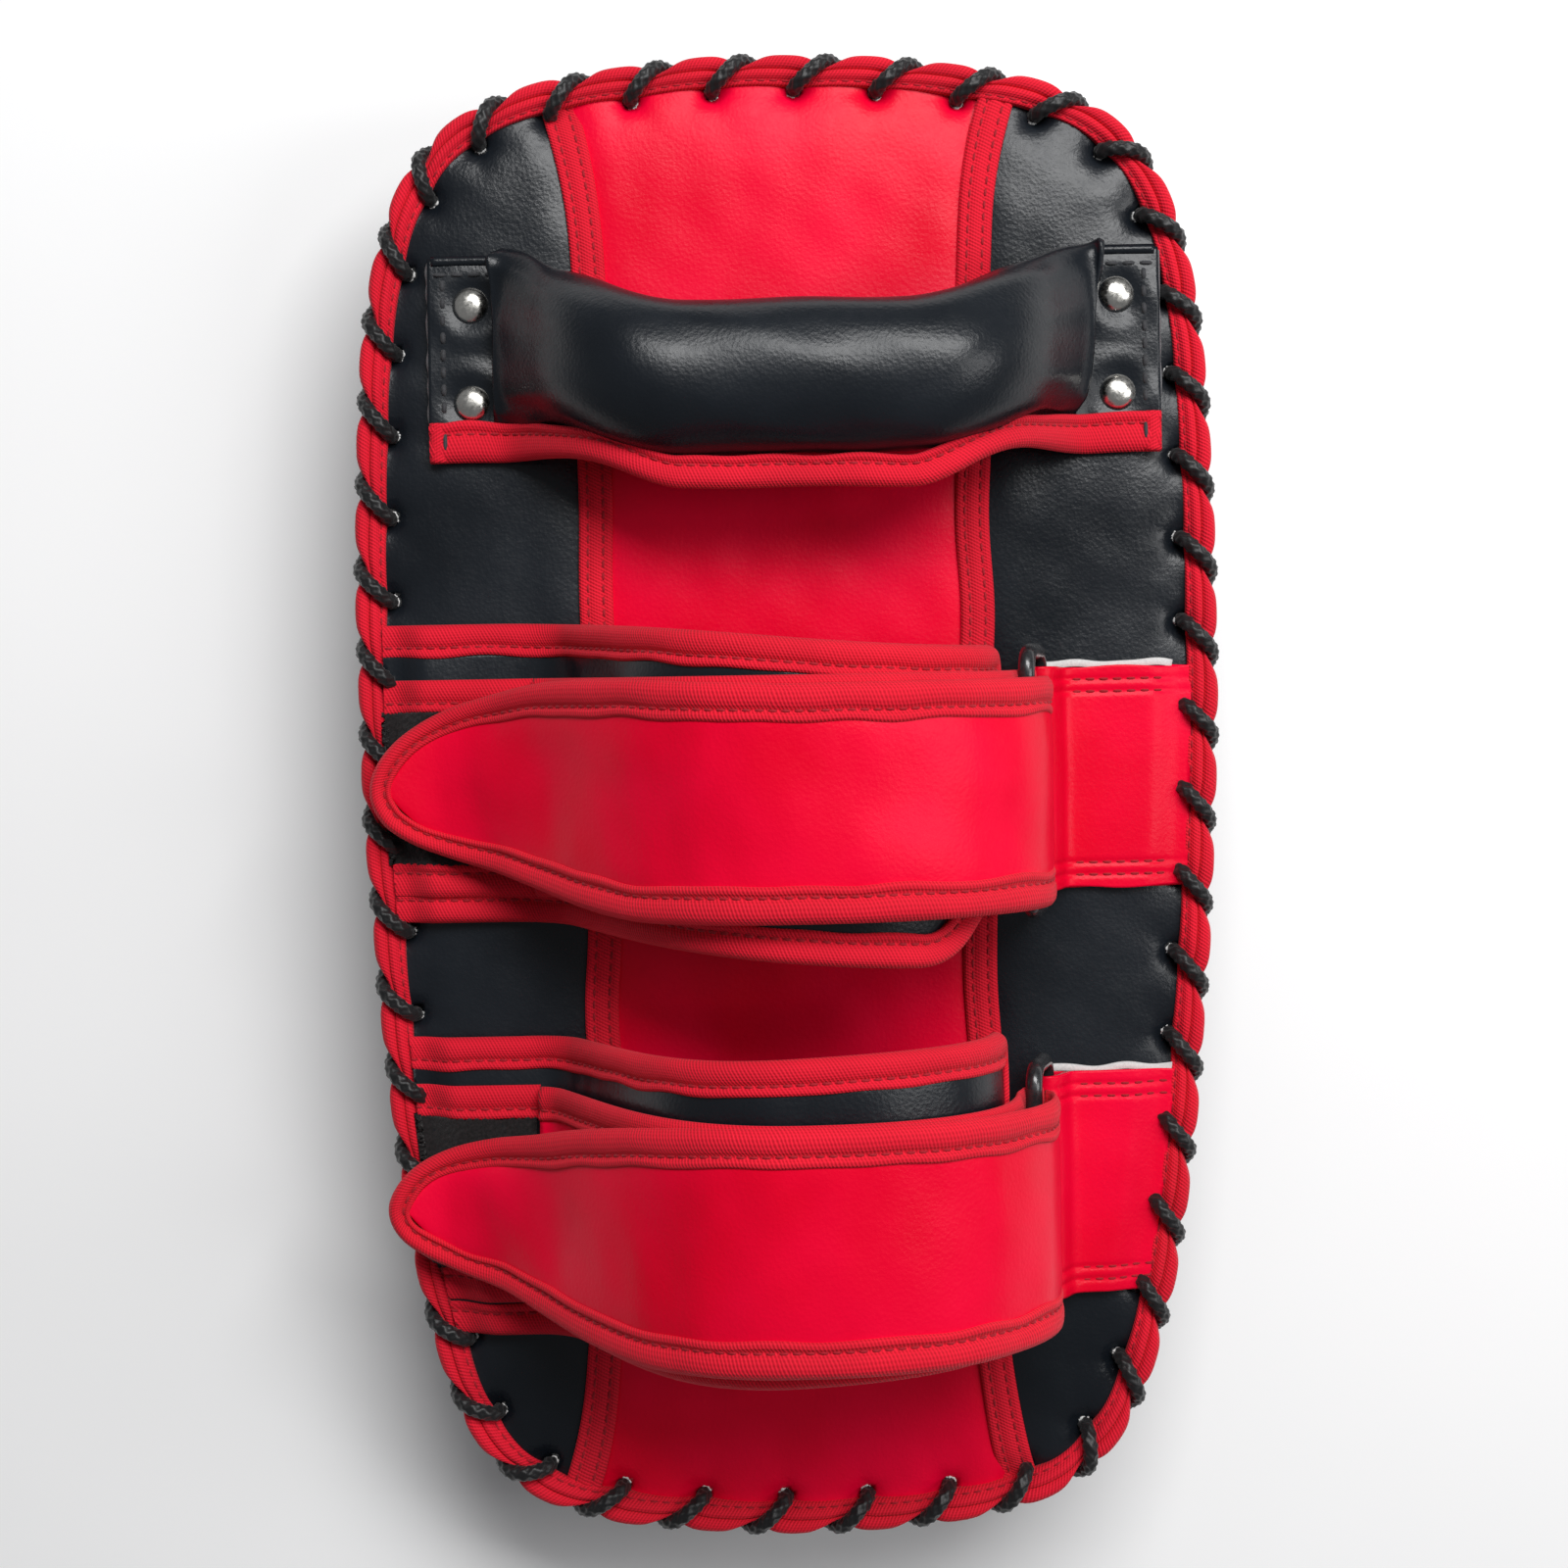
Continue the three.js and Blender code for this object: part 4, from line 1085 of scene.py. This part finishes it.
def tape_section(half, width, bulge=1.25, back=0.45):
    """(inward, height) points of a tape folded over an edge: a round fold, a groove and a lip."""
    top = [
        (0.0, 0.2), (0.4, half * 0.9), (1.3, half + bulge * 0.72), (width * 0.30, half + bulge),
        (width * 0.46, half + bulge * 0.94), (width * 0.58, half + bulge * 0.62),
        (width * 0.66, half + 0.15), (width * 0.71, half + 0.0), (width * 0.76, half + 0.4),
        (width * 0.84, half + 0.95), (width * 0.92, half + 0.9), (width * 0.985, half + 0.5),
        (width, half - 0.1), (width - 0.3, half - 0.4),
    ]
    under = [
        (width - 0.3, -half + 0.3), (width, -half - 0.1), (width * 0.9, -half - back),
        (width * 0.4, -half - back), (1.2, -half - back * 0.3), (0.3, -half * 0.6),
    ]
    return catmull(top + under, True, 0.55)


def sew_tape(track, plan, half, width, tape, sewing, tuck=False, thin=None, seed=0, widths=1.0,
             **section):
    """A tape along plan, points (s, v) with the strap on their left, and its row of stitches."""
    s, v = plan[:, 0], plan[:, 1]
    edge_line = track.place(s, v)
    normal = track.normal(s)
    along = unit(np.gradient(edge_line, axis=0))
    inward = unit(np.cross(normal, along))
    profile = tape_section(half, width, **section)
    total = run_length(edge_line)
    wander = 1 + 0.05 * ripple(seed, 24, total)
    widths = np.broadcast_to(widths, len(s))
    scale = np.ones(len(s)) if thin is None else thin
    rise = np.maximum(np.abs(profile[None, :, 1]) - half, 0) * wander[:, None]
    height = np.sign(profile[None, :, 1]) * (np.minimum(np.abs(profile[None, :, 1]), half) + rise)
    height = height * scale[:, None]
    p = (
        edge_line[:, None]
        + inward[:, None] * (profile[None, :, 0] * (wander * widths)[:, None])[..., None]
        + normal[:, None] * height[..., None]
    )
    tape.strip(tucked(p) if tuck else p)
    row = edge_line + inward * (width * 0.70 * widths)[:, None]
    row += normal * ((half + 0.22) * scale)[:, None]
    threads(sewing, tucked(row) if tuck else row, normal, 2.9, 2.1, 0.33, 0)


def rounded_plan(corners, radius, step=1.2):
    """An open plan through corners, each turned with that radius."""
    corners = np.asarray(corners, float)
    out = [corners[:1]]
    for before, at, after in zip(corners, corners[1:], corners[2:]):
        a, b = unit(before - at), unit(after - at)
        t = np.linspace(0, 1, 14)[:, None]
        start, end = at + a * radius, at + b * radius
        out.append((1 - t) ** 2 * start + 2 * (1 - t) * t * at + t**2 * end)
    out.append(corners[-1:])
    return resample(np.concatenate(out), step)


PULL_HALF, WRAP_HALF, TAPE_WIDTH = 1.1, 1.5, 8.0
UNDER_TAPE = 0.84 * TAPE_WIDTH  # how far in from the edge the skins begin
PULL_FOLD, FLAP_FOLD = 2.7, 4.5
PULL_THINNED, FLAP_THINNED = 0.6, 0.42  # how much of their thickness they lose round the ring
WRAP_WIDTH, PULL_WIDTH = 36.5, 26.5

# The flaps' plans: X, and distance from the strap's middle, from the top edge round the tip.
FLAP_PLANS = {
    "upper": [
        (0, 24.6), (-20, 25.2), (-40, 26.0), (-57, 25.6), (-71, 22.8), (-82, 19.6), (-90, 15.6),
        (-96.5, 10.4), (-100.6, 4.0), (-101.2, -2.2), (-98.2, -8.2), (-91, -13.2), (-81, -17.0),
        (-70, -20.0), (-58, -23.6), (-46, -27.0), (-34, -28.6), (-20, -28.6), (0, -28.4),
    ],
    "lower": [
        (0, 26.8), (-20, 26.2), (-36, 24.4), (-50, 21.4), (-62, 17.8), (-74, 15.0), (-84, 12.2),
        (-92, 8.2), (-97.0, 2.8), (-98.6, -2.6), (-96.4, -8.4), (-90, -13.6), (-80, -18.0),
        (-68, -21.4), (-56, -25.4), (-44, -28.0), (-32, -28.9), (-18, -28.4), (0, -28.0),
    ],
}

FLAP_AT_RING = {"upper": (25.0, -28.5), "lower": (25.5, -28.5)}


def wrap_strap(name, set_, arch):
    track = Track(arch.line, set_["y"], set_["lean"])
    end = track.length - 1
    upper = name == "upper"
    slant = 26.0 if upper else 0.0
    right = [(end - slant, -WRAP_WIDTH), (end, -WRAP_WIDTH + slant), (end, WRAP_WIDTH)]
    plan = rounded_plan([(0, -WRAP_WIDTH)] + right[not upper:] + [(0, WRAP_WIDTH)], 8.0, 1.3)
    skin, tape, sewing = Shape(), Shape(), Shape()
    s = np.arange(0, end - 2, 1.6)
    corner = np.maximum(s - (end - slant - 5), 0) * (slant > 0)
    seed = 71 if upper else 72

    def crease(a, v):
        fine = 0.45 * ripple(seed + 5, 9, a, v * 0.15)
        fine = fine * smooth(30, 42, a) * (1 - smooth(58, 72, a))
        return 0.5 + 0.3 * ripple(seed, 26, a, v * 0.6) + fine

    inner = WRAP_WIDTH - UNDER_TAPE
    strap_skin(skin, track, s, -inner + corner, inner, WRAP_HALF, crease, True, 40)
    sew_tape(track, plan, WRAP_HALF, TAPE_WIDTH, tape, sewing, True, seed=seed, back=0.2, bulge=1.1)
    skin.build(f"{name}_wrap_skin", BLACK, [f"{name}_wrap"])
    tape.build(f"{name}_wrap_tape", TAPE, [f"{name}_wrap_binding"])
    sewing.build(f"{name}_wrap_stitching", RED_THREAD)


def loop_panel(name, set_):
    """Loop pile between two tapes on the wrap's root, with a squared end."""
    high = REAR + WRAP_FLAT + WRAP_HALF + 0.3
    y0 = set_["y"]
    base = np.array([[-104.0, high - REAR + 0.5], [LOOP_END_X, high - REAR + 0.5]])
    track = Track(resample(base, 0.5), y0)
    s = np.arange(0, track.length - 0.4, 1.2)
    skin = Shape()
    strap_skin(skin, track, s, -25.5, 25.5, 0.5, lambda a, v: 0 * a, True, 12)
    skin.build(f"{name}_loop_backing", BLACK, [f"{name}_loop_panel"])
    tape, sewing = Shape(), Shape()
    for start, end, v in ((0, track.length, -PULL_WIDTH), (track.length, 0, PULL_WIDTH)):
        sew_tape(track, rounded_plan([(start, v), (end, v)], 1), 0.5, 8.2, tape, sewing, True,
                 seed=81, bulge=0.95, back=0.1)
    tape.build(f"{name}_loop_tape", TAPE,
               [f"{name}_loop_binding_top", f"{name}_loop_binding_bottom"])
    sewing.build(f"{name}_loop_stitching", RED_THREAD)
    x, v = np.meshgrid(np.arange(-101, LOOP_END_X - 0.5, 0.5), np.arange(-18.8, 18.9, 0.5),
                       indexing="ij")
    tuft = 0.34 * ripple(83, 1.9, x, v) + 0.22 * ripple(84, 1.2, x, v) + 0.2 * ripple(85, 7, x, v)
    loops = Shape().lattice(tucked(xyz(x, y0 + v, high + 1.55 + tuft)))
    loops.build(f"{name}_loop_pile", PILE, [f"{name}_loop_patch"], thick=0.9, facing=UP)


def pull_strap(name, set_, arch):
    """From the loop panel over the forearm, down to the ring and round its upper bar."""
    y0 = set_["y"]
    line = Track(arch.shifted(lambda share: TO_PULL), y0)
    start = line.run_at_x(LOOP_END_X + 0.5)
    past_start = line.runs >= start
    kept = line.line[past_start & ((line.line[:, 1] > 27) | (line.line[:, 0] < 0))]
    angle = np.radians(np.arange(180, 325, 6))
    around = UPPER_BAR + PULL_FOLD * np.stack([np.cos(angle), np.sin(angle)], -1)
    track = Track(resample(np.concatenate([kept, around]), 0.5), y0)
    s = np.arange(0, track.length, 1.5)

    def thin(runs):
        return 1 - PULL_THINNED * smooth(track.length - 21, track.length - 10, runs)

    seed = 91 if name == "upper" else 94
    skin, tape, sewing = Shape(), Shape(), Shape()
    # The lower one shows below its flap, so its lower edge lies further out.
    extra = 1.9 if name == "lower" else 0.0
    low_corners = [(0, -PULL_WIDTH), (30, -PULL_WIDTH - extra), (track.length, -PULL_WIDTH - extra)]
    low_plan = rounded_plan(low_corners, 10, 1.3)
    low = np.interp(s, low_plan[:, 0], low_plan[:, 1])
    strap_skin(skin, track, s, low + UNDER_TAPE, PULL_WIDTH - UNDER_TAPE, PULL_HALF,
               lambda a, v: 0.25 * (1 - smooth(track.length - 18, track.length - 10, a)),
               False, 24, thin(s))
    for plan in (low_plan, rounded_plan([(track.length, PULL_WIDTH), (0, PULL_WIDTH)], 1, 1.3)):
        sew_tape(track, plan, PULL_HALF, TAPE_WIDTH, tape, sewing, seed=seed,
                 thin=thin(plan[:, 0]), bulge=0.8, back=0.4)
    bent = [
        skin.build(f"{name}_pull_skin", RED, [f"{name}_pull_strap"], None),
        tape.build(f"{name}_pull_tape", TAPE,
                   [f"{name}_pull_binding_top", f"{name}_pull_binding_bottom"], None),
        sewing.build(f"{name}_pull_stitching", RED_THREAD, (), None),
    ]
    for piece in bent:
        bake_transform(piece)


def flap(name, set_, arch):
    y0 = set_["y"]
    swing = UPPER_BAR[0] + FLAP_FOLD - ARCH_SIDE_X - TO_FLAP
    begin = 1 - 24 / arch.length
    line = arch.shifted(lambda share: TO_FLAP + swing * smooth(begin, 1, share))
    angle = np.radians(np.arange(0, -49, -4))
    around = UPPER_BAR + FLAP_FOLD * np.stack([np.cos(angle), np.sin(angle)], -1)
    line = np.concatenate([[[-108, line[0, 1]]], line, around])
    line = resample(line, 0.5)
    line = resample(taut(line, -76.0), 0.5)
    line = soften(line, -90, -18, 24)
    line[:, 1] += 1.0 * np.exp(-(((line[:, 0] + 34) / 12) ** 2))
    # The free part settles on the loop panel, and lifts a little at its tip.
    drop = 1.0 - smooth(-62, -44, line[:, 0])
    line[:, 1] -= 1.6 * drop
    line[:, 1] += 0.9 * smooth(-84, -101, line[:, 0])
    track = Track(line, y0)
    points = np.array(FLAP_PLANS[name], float)
    curve = catmull(points, False, 0.8)
    curve = np.stack([track.run_at_x(curve[:, 0]), curve[:, 1]], -1)
    crown_run = curve[0, 0]
    top_v, bottom_v = points[0, 1], points[-1, 1]
    ring_top, ring_bottom = FLAP_AT_RING[name]
    ends = crown_run + np.array([0, 0.25, 0.5, 0.75, 1]) * (track.length - crown_run)
    narrowing = np.array([0, 0.12, 0.45, 0.82, 1.0])
    top_side = np.stack([ends, top_v + (ring_top - top_v) * narrowing], -1)
    bottom_side = np.stack([ends, bottom_v + (ring_bottom - bottom_v) * narrowing], -1)
    plan = catmull(np.concatenate([top_side[:0:-1], curve[::6], bottom_side]), False, 1.1)
    tape, sewing, skin = Shape(), Shape(), Shape()
    seed = 101 if name == "upper" else 104

    def thin(runs):
        return 1 - FLAP_THINNED * smooth(track.length - 21, track.length - 9, runs)

    def widths(runs):
        return 1.08 - 0.42 * smooth(-48, -94, np.interp(runs, track.runs, track.line[:, 0]))

    sew_tape(track, plan, PULL_HALF, TAPE_WIDTH, tape, sewing, seed=seed, thin=thin(plan[:, 0]),
             widths=widths(plan[:, 0]), bulge=1.25, back=0.35)
    turn = int(np.argmin(curve[:, 0]))
    tip_run = curve[turn, 0]
    skin_run = tip_run + UNDER_TAPE * float(widths(tip_run))
    s = skin_run + np.concatenate([[0, 0.1, 0.3, 0.6, 1.0, 1.5, 2.1, 2.8],
                                   np.arange(3.6, track.length - skin_run, 1.3)])
    upper_edge = np.interp(s, curve[:turn + 1, 0][::-1], curve[:turn + 1, 1][::-1])
    lower_edge = np.interp(s, curve[turn:, 0], curve[turn:, 1])
    upper_edge = np.where(s > crown_run, np.interp(s, *top_side.T), upper_edge)
    lower_edge = np.where(s > crown_run, np.interp(s, *bottom_side.T), lower_edge)
    # The skin ends under the tape's lip; at the tip it ends in the same round shape.
    from_tip = s - skin_run
    under = UNDER_TAPE * widths(s)
    tip_v = curve[turn, 1]
    round_end = np.sqrt(np.maximum(1 - (1 - np.minimum(from_tip / 13, 1)) ** 2, 0))
    high = tip_v + (upper_edge - under - tip_v) * round_end
    low = tip_v + (lower_edge + under - tip_v) * round_end
    rise = track.run_at_x(-58.0)

    def dome(a, v):
        return (
            0.35 + 0.34 * ripple(seed + 1, 42, a, v) + 0.12 * ripple(seed + 2, 15, a, v * 0.7)
            + 1.7 * np.exp(-(((a - rise + 18) / 11) ** 2 + ((v - 3) / 11) ** 2))
            - 0.9 * np.exp(-(((a - rise - 6) / 10) ** 2 + ((v + 4) / 16) ** 2))
        )

    strap_skin(skin, track, s, low, high, PULL_HALF, dome, False, 44, thin(s))
    body = f"{name}_flap"
    skin.build(f"{name}_flap_skin", RED, [body], body)
    tape.build(f"{name}_flap_tape", TAPE, [f"{name}_flap_binding"], body)
    sewing.build(f"{name}_flap_stitching", RED_THREAD, (), body)

    x, v = np.meshgrid(np.arange(-88, -65, 0.6), np.arange(-9.5, 9.6, 0.6), indexing="ij")
    tip = points[np.argmin(points[:, 0]), 1] / 2
    hooks = 0.2 * ripple(seed + 3, 1.6, x, v)
    patch = Shape().lattice(track.place(track.run_at_x(x), tip + v, hooks - PULL_HALF - 1.5))
    patch.build(f"{name}_hook_pile", PILE, [f"{name}_hook_patch"], body, thick=0.6, facing=-UP)


def ring(name, set_):
    """A rounded rectangle of enamelled wire."""
    y0 = set_["y"]
    low, high = (np.array([x, REAR + z]) for x, z in (LOWER_BAR, UPPER_BAR))
    middle, reach = (low + high) / 2, np.linalg.norm(high - low) / 2
    up = (high - low) / (2 * reach)
    half, corner = 57.5 / 2 + 2.0, 4.5
    flat = []
    for sy, su, start in ((1, 1, 0), (-1, 1, 1), (-1, -1, 2), (1, -1, 3)):
        angle = (start + np.linspace(0, 1, 9)) * math.pi / 2
        flat.append(np.stack([sy * (half - corner) + corner * np.cos(angle),
                              su * (reach - corner) + corner * np.sin(angle)], -1))
    flat = np.concatenate(flat + [flat[0][:1]])
    flat = resample(flat, 1.2)[:-1]
    line = xyz(middle[0] + up[0] * flat[:, 1], y0 + flat[:, 0], middle[1] + up[1] * flat[:, 1])
    wire = tube(line, 2.0, 20, (up[1], 0, -up[0]), closed=True)
    shape = Shape().lattice(wire, closed_u=True, closed_v=True)
    shape.build(f"{name}_ring_wire", ENAMEL, [f"{name}_ring"], f"{name}_ring")


def anchor(name, set_):
    """A strip doubled round the ring's lower bar, sewn down and held under the edge tape."""
    y0 = set_["y"]
    route = [
        (101, 2.2), (84, 2.3), (72, 2.4), (67.4, 3.3), (65.4, 6.2), (63.6, 8.8), (61.2, 9.6),
        (58.7, 8.7), (57.4, 5.6), (58.6, 2.7), (61, 1.5), (66, 0.9), (84, 0.8), (101, 0.8),
    ]
    track = Track(resample(catmull(route, False, 0.5), 0.5), y0)
    s = np.arange(0, track.length, 1.2)
    skin, sewing, raw = Shape(), Shape(), Shape()
    seed = 111 if name == "upper" else 112
    half_width = 27.0 + 0.25 * ripple(seed, 30, s)
    sewn = (-23.9, -20.9, 20.9, 23.9)

    def dent(a, v):
        rows = sum(np.exp(-(((v - row) / 0.7) ** 2)) for row in sewn)
        return -0.4 * rows * (a < 42) + 0.15 * ripple(seed + 3, 22, a, v) * (a < 42)

    strap_skin(skin, track, s, -half_width, half_width, 0.6, lambda a, v: 0 * a, True, 110,
               face=dent)
    skin.build(f"{name}_anchor_skin", RED, [f"{name}_anchor"])
    x = np.arange(69, 93, 0.8)
    for v in sewn:
        line = xyz(x, y0 + v + 0.15 * ripple(seed + 1, 20, x), REAR + 2.75)
        threads(sewing, tucked(line), UP, 3.0, 2.2, 0.3, 0)
    sewing.build(f"{name}_anchor_stitching", RED_THREAD, slot="red_leatherette")
    x = np.arange(60.5, 95, 1.0)
    out = 27.5 + 0.5 * ripple(seed + 2, 16, x)
    line = xyz(x, y0 + out, REAR + 1.55)
    raw.strip(tucked(tube(line, 1.0, 8, squash=0.3)))
    raw.build(f"{name}_anchor_backing", BACKING, slot="red_leatherette")


for name, set_ in SETS.items():
    arch = Track(arch_line(set_["crest"]), set_["y"])
    wrap_strap(name, set_, arch)
    loop_panel(name, set_)
    pull_strap(name, set_, arch)
    flap(name, set_, arch)
    ring(name, set_)
    anchor(name, set_)

# ------------------------------------------------------------------ grip

GRIP_Y, TAB_END_X, TAB_INNER_X, TAB_HALF_WIDTH = 108.5, 88.0, 73.5, 24.0
GRIP_END_X, GRIP_HEIGHT, GRIP_SAG, TAB_HEIGHT = 67.0, 31.0, 13.0, 1.5
SLEEVE_END_X, SLEEVE_SLANT = 70.5, 3.0
GRIP_SHIFT = 3.0  # the grip sits a little to the right of the pad's middle
RIVETS = [(side * 79.0, y) for side in (-1, 1) for y in (97.0, 121.0)]


def grip_track():
    left = bezier((-TAB_INNER_X, TAB_HEIGHT), (-61, TAB_HEIGHT), (-56, GRIP_HEIGHT),
                  (-28, GRIP_HEIGHT))
    half = np.concatenate([[(-TAB_END_X - 1.5, TAB_HEIGHT)], left])
    line = np.concatenate([half, half[::-1] * [-1, 1]])
    return Track(resample(line, 0.5), 0.0)


def roundness(x):
    return 1 - smooth(34, GRIP_END_X, np.abs(x))


def sleeve_y(x):
    return GRIP_Y + 3.5 - GRIP_SAG * (1 - smooth(26, SLEEVE_END_X, np.abs(x)))


def tab_skin(track):
    """The grip strap: its two sewn-down ends, which narrow as they go into the sleeve."""
    skin, sewing, raw, hem = Shape(), Shape(), Shape(), Shape()
    rivet_xy = np.array(RIVETS)
    for side in (-1, 1):
        s = np.linspace(0, 42, 60)
        if side > 0:
            s = track.length - s[::-1]
        x = np.interp(s, track.runs, track.line[:, 0])
        tuck = 1 - smooth(GRIP_END_X - 2, TAB_INNER_X - 3, np.abs(x))
        half = TAB_HALF_WIDTH * (1 - tuck) + 13 * tuck
        middle = GRIP_Y * (1 - tuck) + sleeve_y(x) * tuck
        across = 60
        w = np.concatenate([np.linspace(-1, 1, across), np.linspace(1, -1, across)])[None]
        v = middle[:, None] + half[:, None] * w
        gs = np.broadcast_to(s[:, None], v.shape)
        gx = np.broadcast_to(x[:, None], v.shape)
        gap = np.min(np.hypot(gx[..., None] - rivet_xy[:, 0], v[..., None] - rivet_xy[:, 1]), -1)
        top = (np.arange(2 * across) < across)[None]
        puff = 0.45 + 0.25 * ripple(121, 16, gx, v) - 1.1 * np.exp(-((gap / 4.6) ** 2))
        puff += 0.35 * np.exp(-(((gap - 8) / 3) ** 2))
        h = np.where(top, 1.1 + puff * (1 - np.abs(w) ** 8), -1.1)
        skin.strip(track.place(gs, v, h))

        # A turned hem along the top, sewn with thick thread that carries on down the outer edge.
        hx = side * np.arange(TAB_INNER_X - 6, TAB_END_X + 0.6, 1.0)
        line = xyz(hx, GRIP_Y + TAB_HALF_WIDTH - 0.6, REAR + 2.3)
        hem.strip(tube(line, 1.35, 12))
        threads(sewing, line + [0, -3.4, 1.1], UP, 4.1, 3.2, 0.5, 0)
        vy = np.arange(GRIP_Y - 14.5, GRIP_Y + TAB_HALF_WIDTH - 3.5, 1.0)
        line = xyz(side * (TAB_END_X - 2.2), vy, REAR + 3.35)
        threads(sewing, line, UP, 4.0, 3.0, 0.62, 0)
        vy = np.arange(GRIP_Y - 16, GRIP_Y + TAB_HALF_WIDTH - 0.5, 0.7)
        wave = 0.35 * ripple(123 + side, 8, vy)
        raw.strip(tube(xyz(side * (TAB_END_X + 0.8 + wave), vy, REAR + 1.4), 1.25, 10))
    skin.build("grip_tabs", BLACK, ["grip_strap"])
    hem.build("grip_tab_hems", BLACK)
    sewing.build("grip_tab_stitching", BLACK_THREAD)
    raw.build("grip_tab_raw_edges", RAW)


def sleeve(track):
    """A padded leatherette roll round the strap, open and flattened at both ends."""
    s = np.arange(track.run_at_x(-SLEEVE_END_X), track.run_at_x(SLEEVE_END_X), 1.3)
    x = np.interp(s, track.runs, track.line[:, 0])
    sides = 72
    angle = np.arange(sides) * TAU / sides
    round_ = roundness(x)[:, None]
    from_end = (s - s[0])[:, None], (s[-1] - s)[:, None]
    near = np.exp(-np.minimum(*from_end) / 9)
    c, q = np.cos(angle)[None], np.sin(angle)[None]
    power = 0.82 + 0.18 * round_
    half_y = 19.5 + (1 - round_)
    half_z = np.where(q > 0, 7.4 + 7.4 * round_, 4.4 + 10.4 * round_)
    v = sleeve_y(x)[:, None] + half_y * np.sign(c) * np.abs(c) ** power
    h = half_z * q
    # The fold along the top stands up in a peak at each open end.
    crest = np.exp(-(((angle[None] - 0.55) / 0.5) ** 2))
    h = h + near * crest * 6.0
    v = v + near * crest * 2.5
    gs = np.broadcast_to(s[:, None], v.shape)
    girth = angle[None] * 16
    wrinkle = 0.55 * ripple(131, 17, gs * 0.45, girth)
    wrinkle += 0.35 * ripple(132, 8, gs * 0.25, girth) * (1 - round_ * 0.6)
    wrinkle += 0.35 * ripple(133, 38, gs, girth)
    slack = 1 + 0.02 * wrinkle * (1.2 + 1.2 * (1 - round_))
    middle = sleeve_y(x)[:, None]
    shift_s = SLEEVE_SLANT * (v - middle) / 20 * near
    p = track.place(gs + shift_s, middle + (v - middle) * slack, h * slack)
    centre = track.place(s, sleeve_y(x))[:, None]
    slim = centre + (p - centre) * 0.93

    def held(rest):
        return (np.abs(rest[:, 0]) > 60).astype(float)

    flat = slim.reshape(-1, 3)
    field = Swell(*inflate(flat, tube_faces(*p.shape[:2]), held, voxel=4.0, cap=2.2))
    p = slim + field(flat).reshape(p.shape) * 0.7
    ends = smooth(56, 64, np.abs(x))[:, None, None]
    p = p * (1 - ends) + (centre + (p - centre) / 0.93) * ends
    core = Shape().strip((centre + (p - centre) * 0.74)[np.abs(x) < 49])
    core.build("grip_foam_roll", FOAM, ["grip_core"])
    skin = Shape().lattice(p, closed_v=True)
    piece = skin.build("grip_sleeve_skin", BLACK, ["grip_sleeve"], thick=1.2,
                       facing=lambda q: (q - [0, 100, REAR + 26]) * [0, 1, 1])


def grip_tape(track):
    """Tape along the strap's lower edge, its two ends folded over on the tabs."""
    tape, sewing, cross = Shape(), Shape(), Shape()
    s = np.arange(0.2, track.length, 1.2)
    x = np.interp(s, track.runs, track.line[:, 0])
    tuck = 1 - smooth(28, TAB_INNER_X, np.abs(x))
    broad = smooth(50, TAB_INNER_X, np.abs(x))
    v = (GRIP_Y - TAB_HALF_WIDTH - 2.4) * (1 - tuck) + (sleeve_y(x) - 26.0) * tuck
    v += 0.4 * ripple(141, 60, s)
    lifted = Track(track.line + np.array([0, 0.9]), 0.0)
    sew_tape(lifted, np.stack([s, v], -1), 1.2, 7.6, tape, sewing, seed=142, widths=1 + 0.3 * broad,
             bulge=1.0, back=0.5)
    for side in (-1, 1):
        ty = np.arange(GRIP_Y - TAB_HALF_WIDTH - 1.9, GRIP_Y - TAB_HALF_WIDTH + 7.8, 0.8)
        line = xyz(side * (TAB_END_X - 0.6), ty, REAR + 3.0)
        tape.strip(tube(line, 2.2, 14, squash=0.75))
        threads(cross, line[2:-2] + [-side * 1.9, 0, 1.55], UP, 4.5, 4.2, 0.5, 0)
    tape.build("grip_tape", TAPE, ["grip_binding"])
    sewing.build("grip_tape_stitching", RED_THREAD)
    cross.build("grip_tape_end_stitches", BLACK_THREAD, slot="red_tape")


def rivets():
    profile = np.array([
        (0.0, 2.45), (1.2, 2.38), (2.3, 2.12), (3.2, 1.68), (3.9, 1.06), (4.35, 0.4), (4.45, -0.05),
        (4.25, -0.4), (3.4, -0.5), (1.6, -0.55), (1.5, -3.0), (0.02, -3.0),
    ])
    curve = catmull(profile, False, 0.35)
    curve[:, 0] = np.maximum(curve[:, 0], 0.01)
    angle = np.arange(48) * TAU / 48
    for k, (x, y) in enumerate(RIVETS):
        p = xyz(x + curve[None, :, 0] * np.cos(angle)[:, None],
                y + curve[None, :, 0] * np.sin(angle)[:, None], REAR + 2.55 + curve[None, :, 1])
        cap = Shape().lattice(p, closed_u=True)
        cap.build(f"rivet_cap_{k + 1}", NICKEL, [f"rivet_{k + 1}"])


line_of_grip = grip_track()
tab_skin(line_of_grip)
sleeve(line_of_grip)
grip_tape(line_of_grip)
rivets()
for piece in bpy.data.objects:
    if piece.name.startswith(("grip_tab", "grip_sleeve_skin", "grip_foam", "grip_tape",
                              "rivet_cap")):
        piece.data.transform(Matrix.Translation((GRIP_SHIFT * MM, 0, 0)))

for node in ("foam_front", "foam_middle", "foam_rear"):
    frame["nodes"][node].data.materials.clear()
    frame["nodes"][node].data.materials.append(FOAM)

boxes = {"cad": cad_box, "visual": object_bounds()}
{name: [list(c) for c in box] for name, box in boxes.items()}
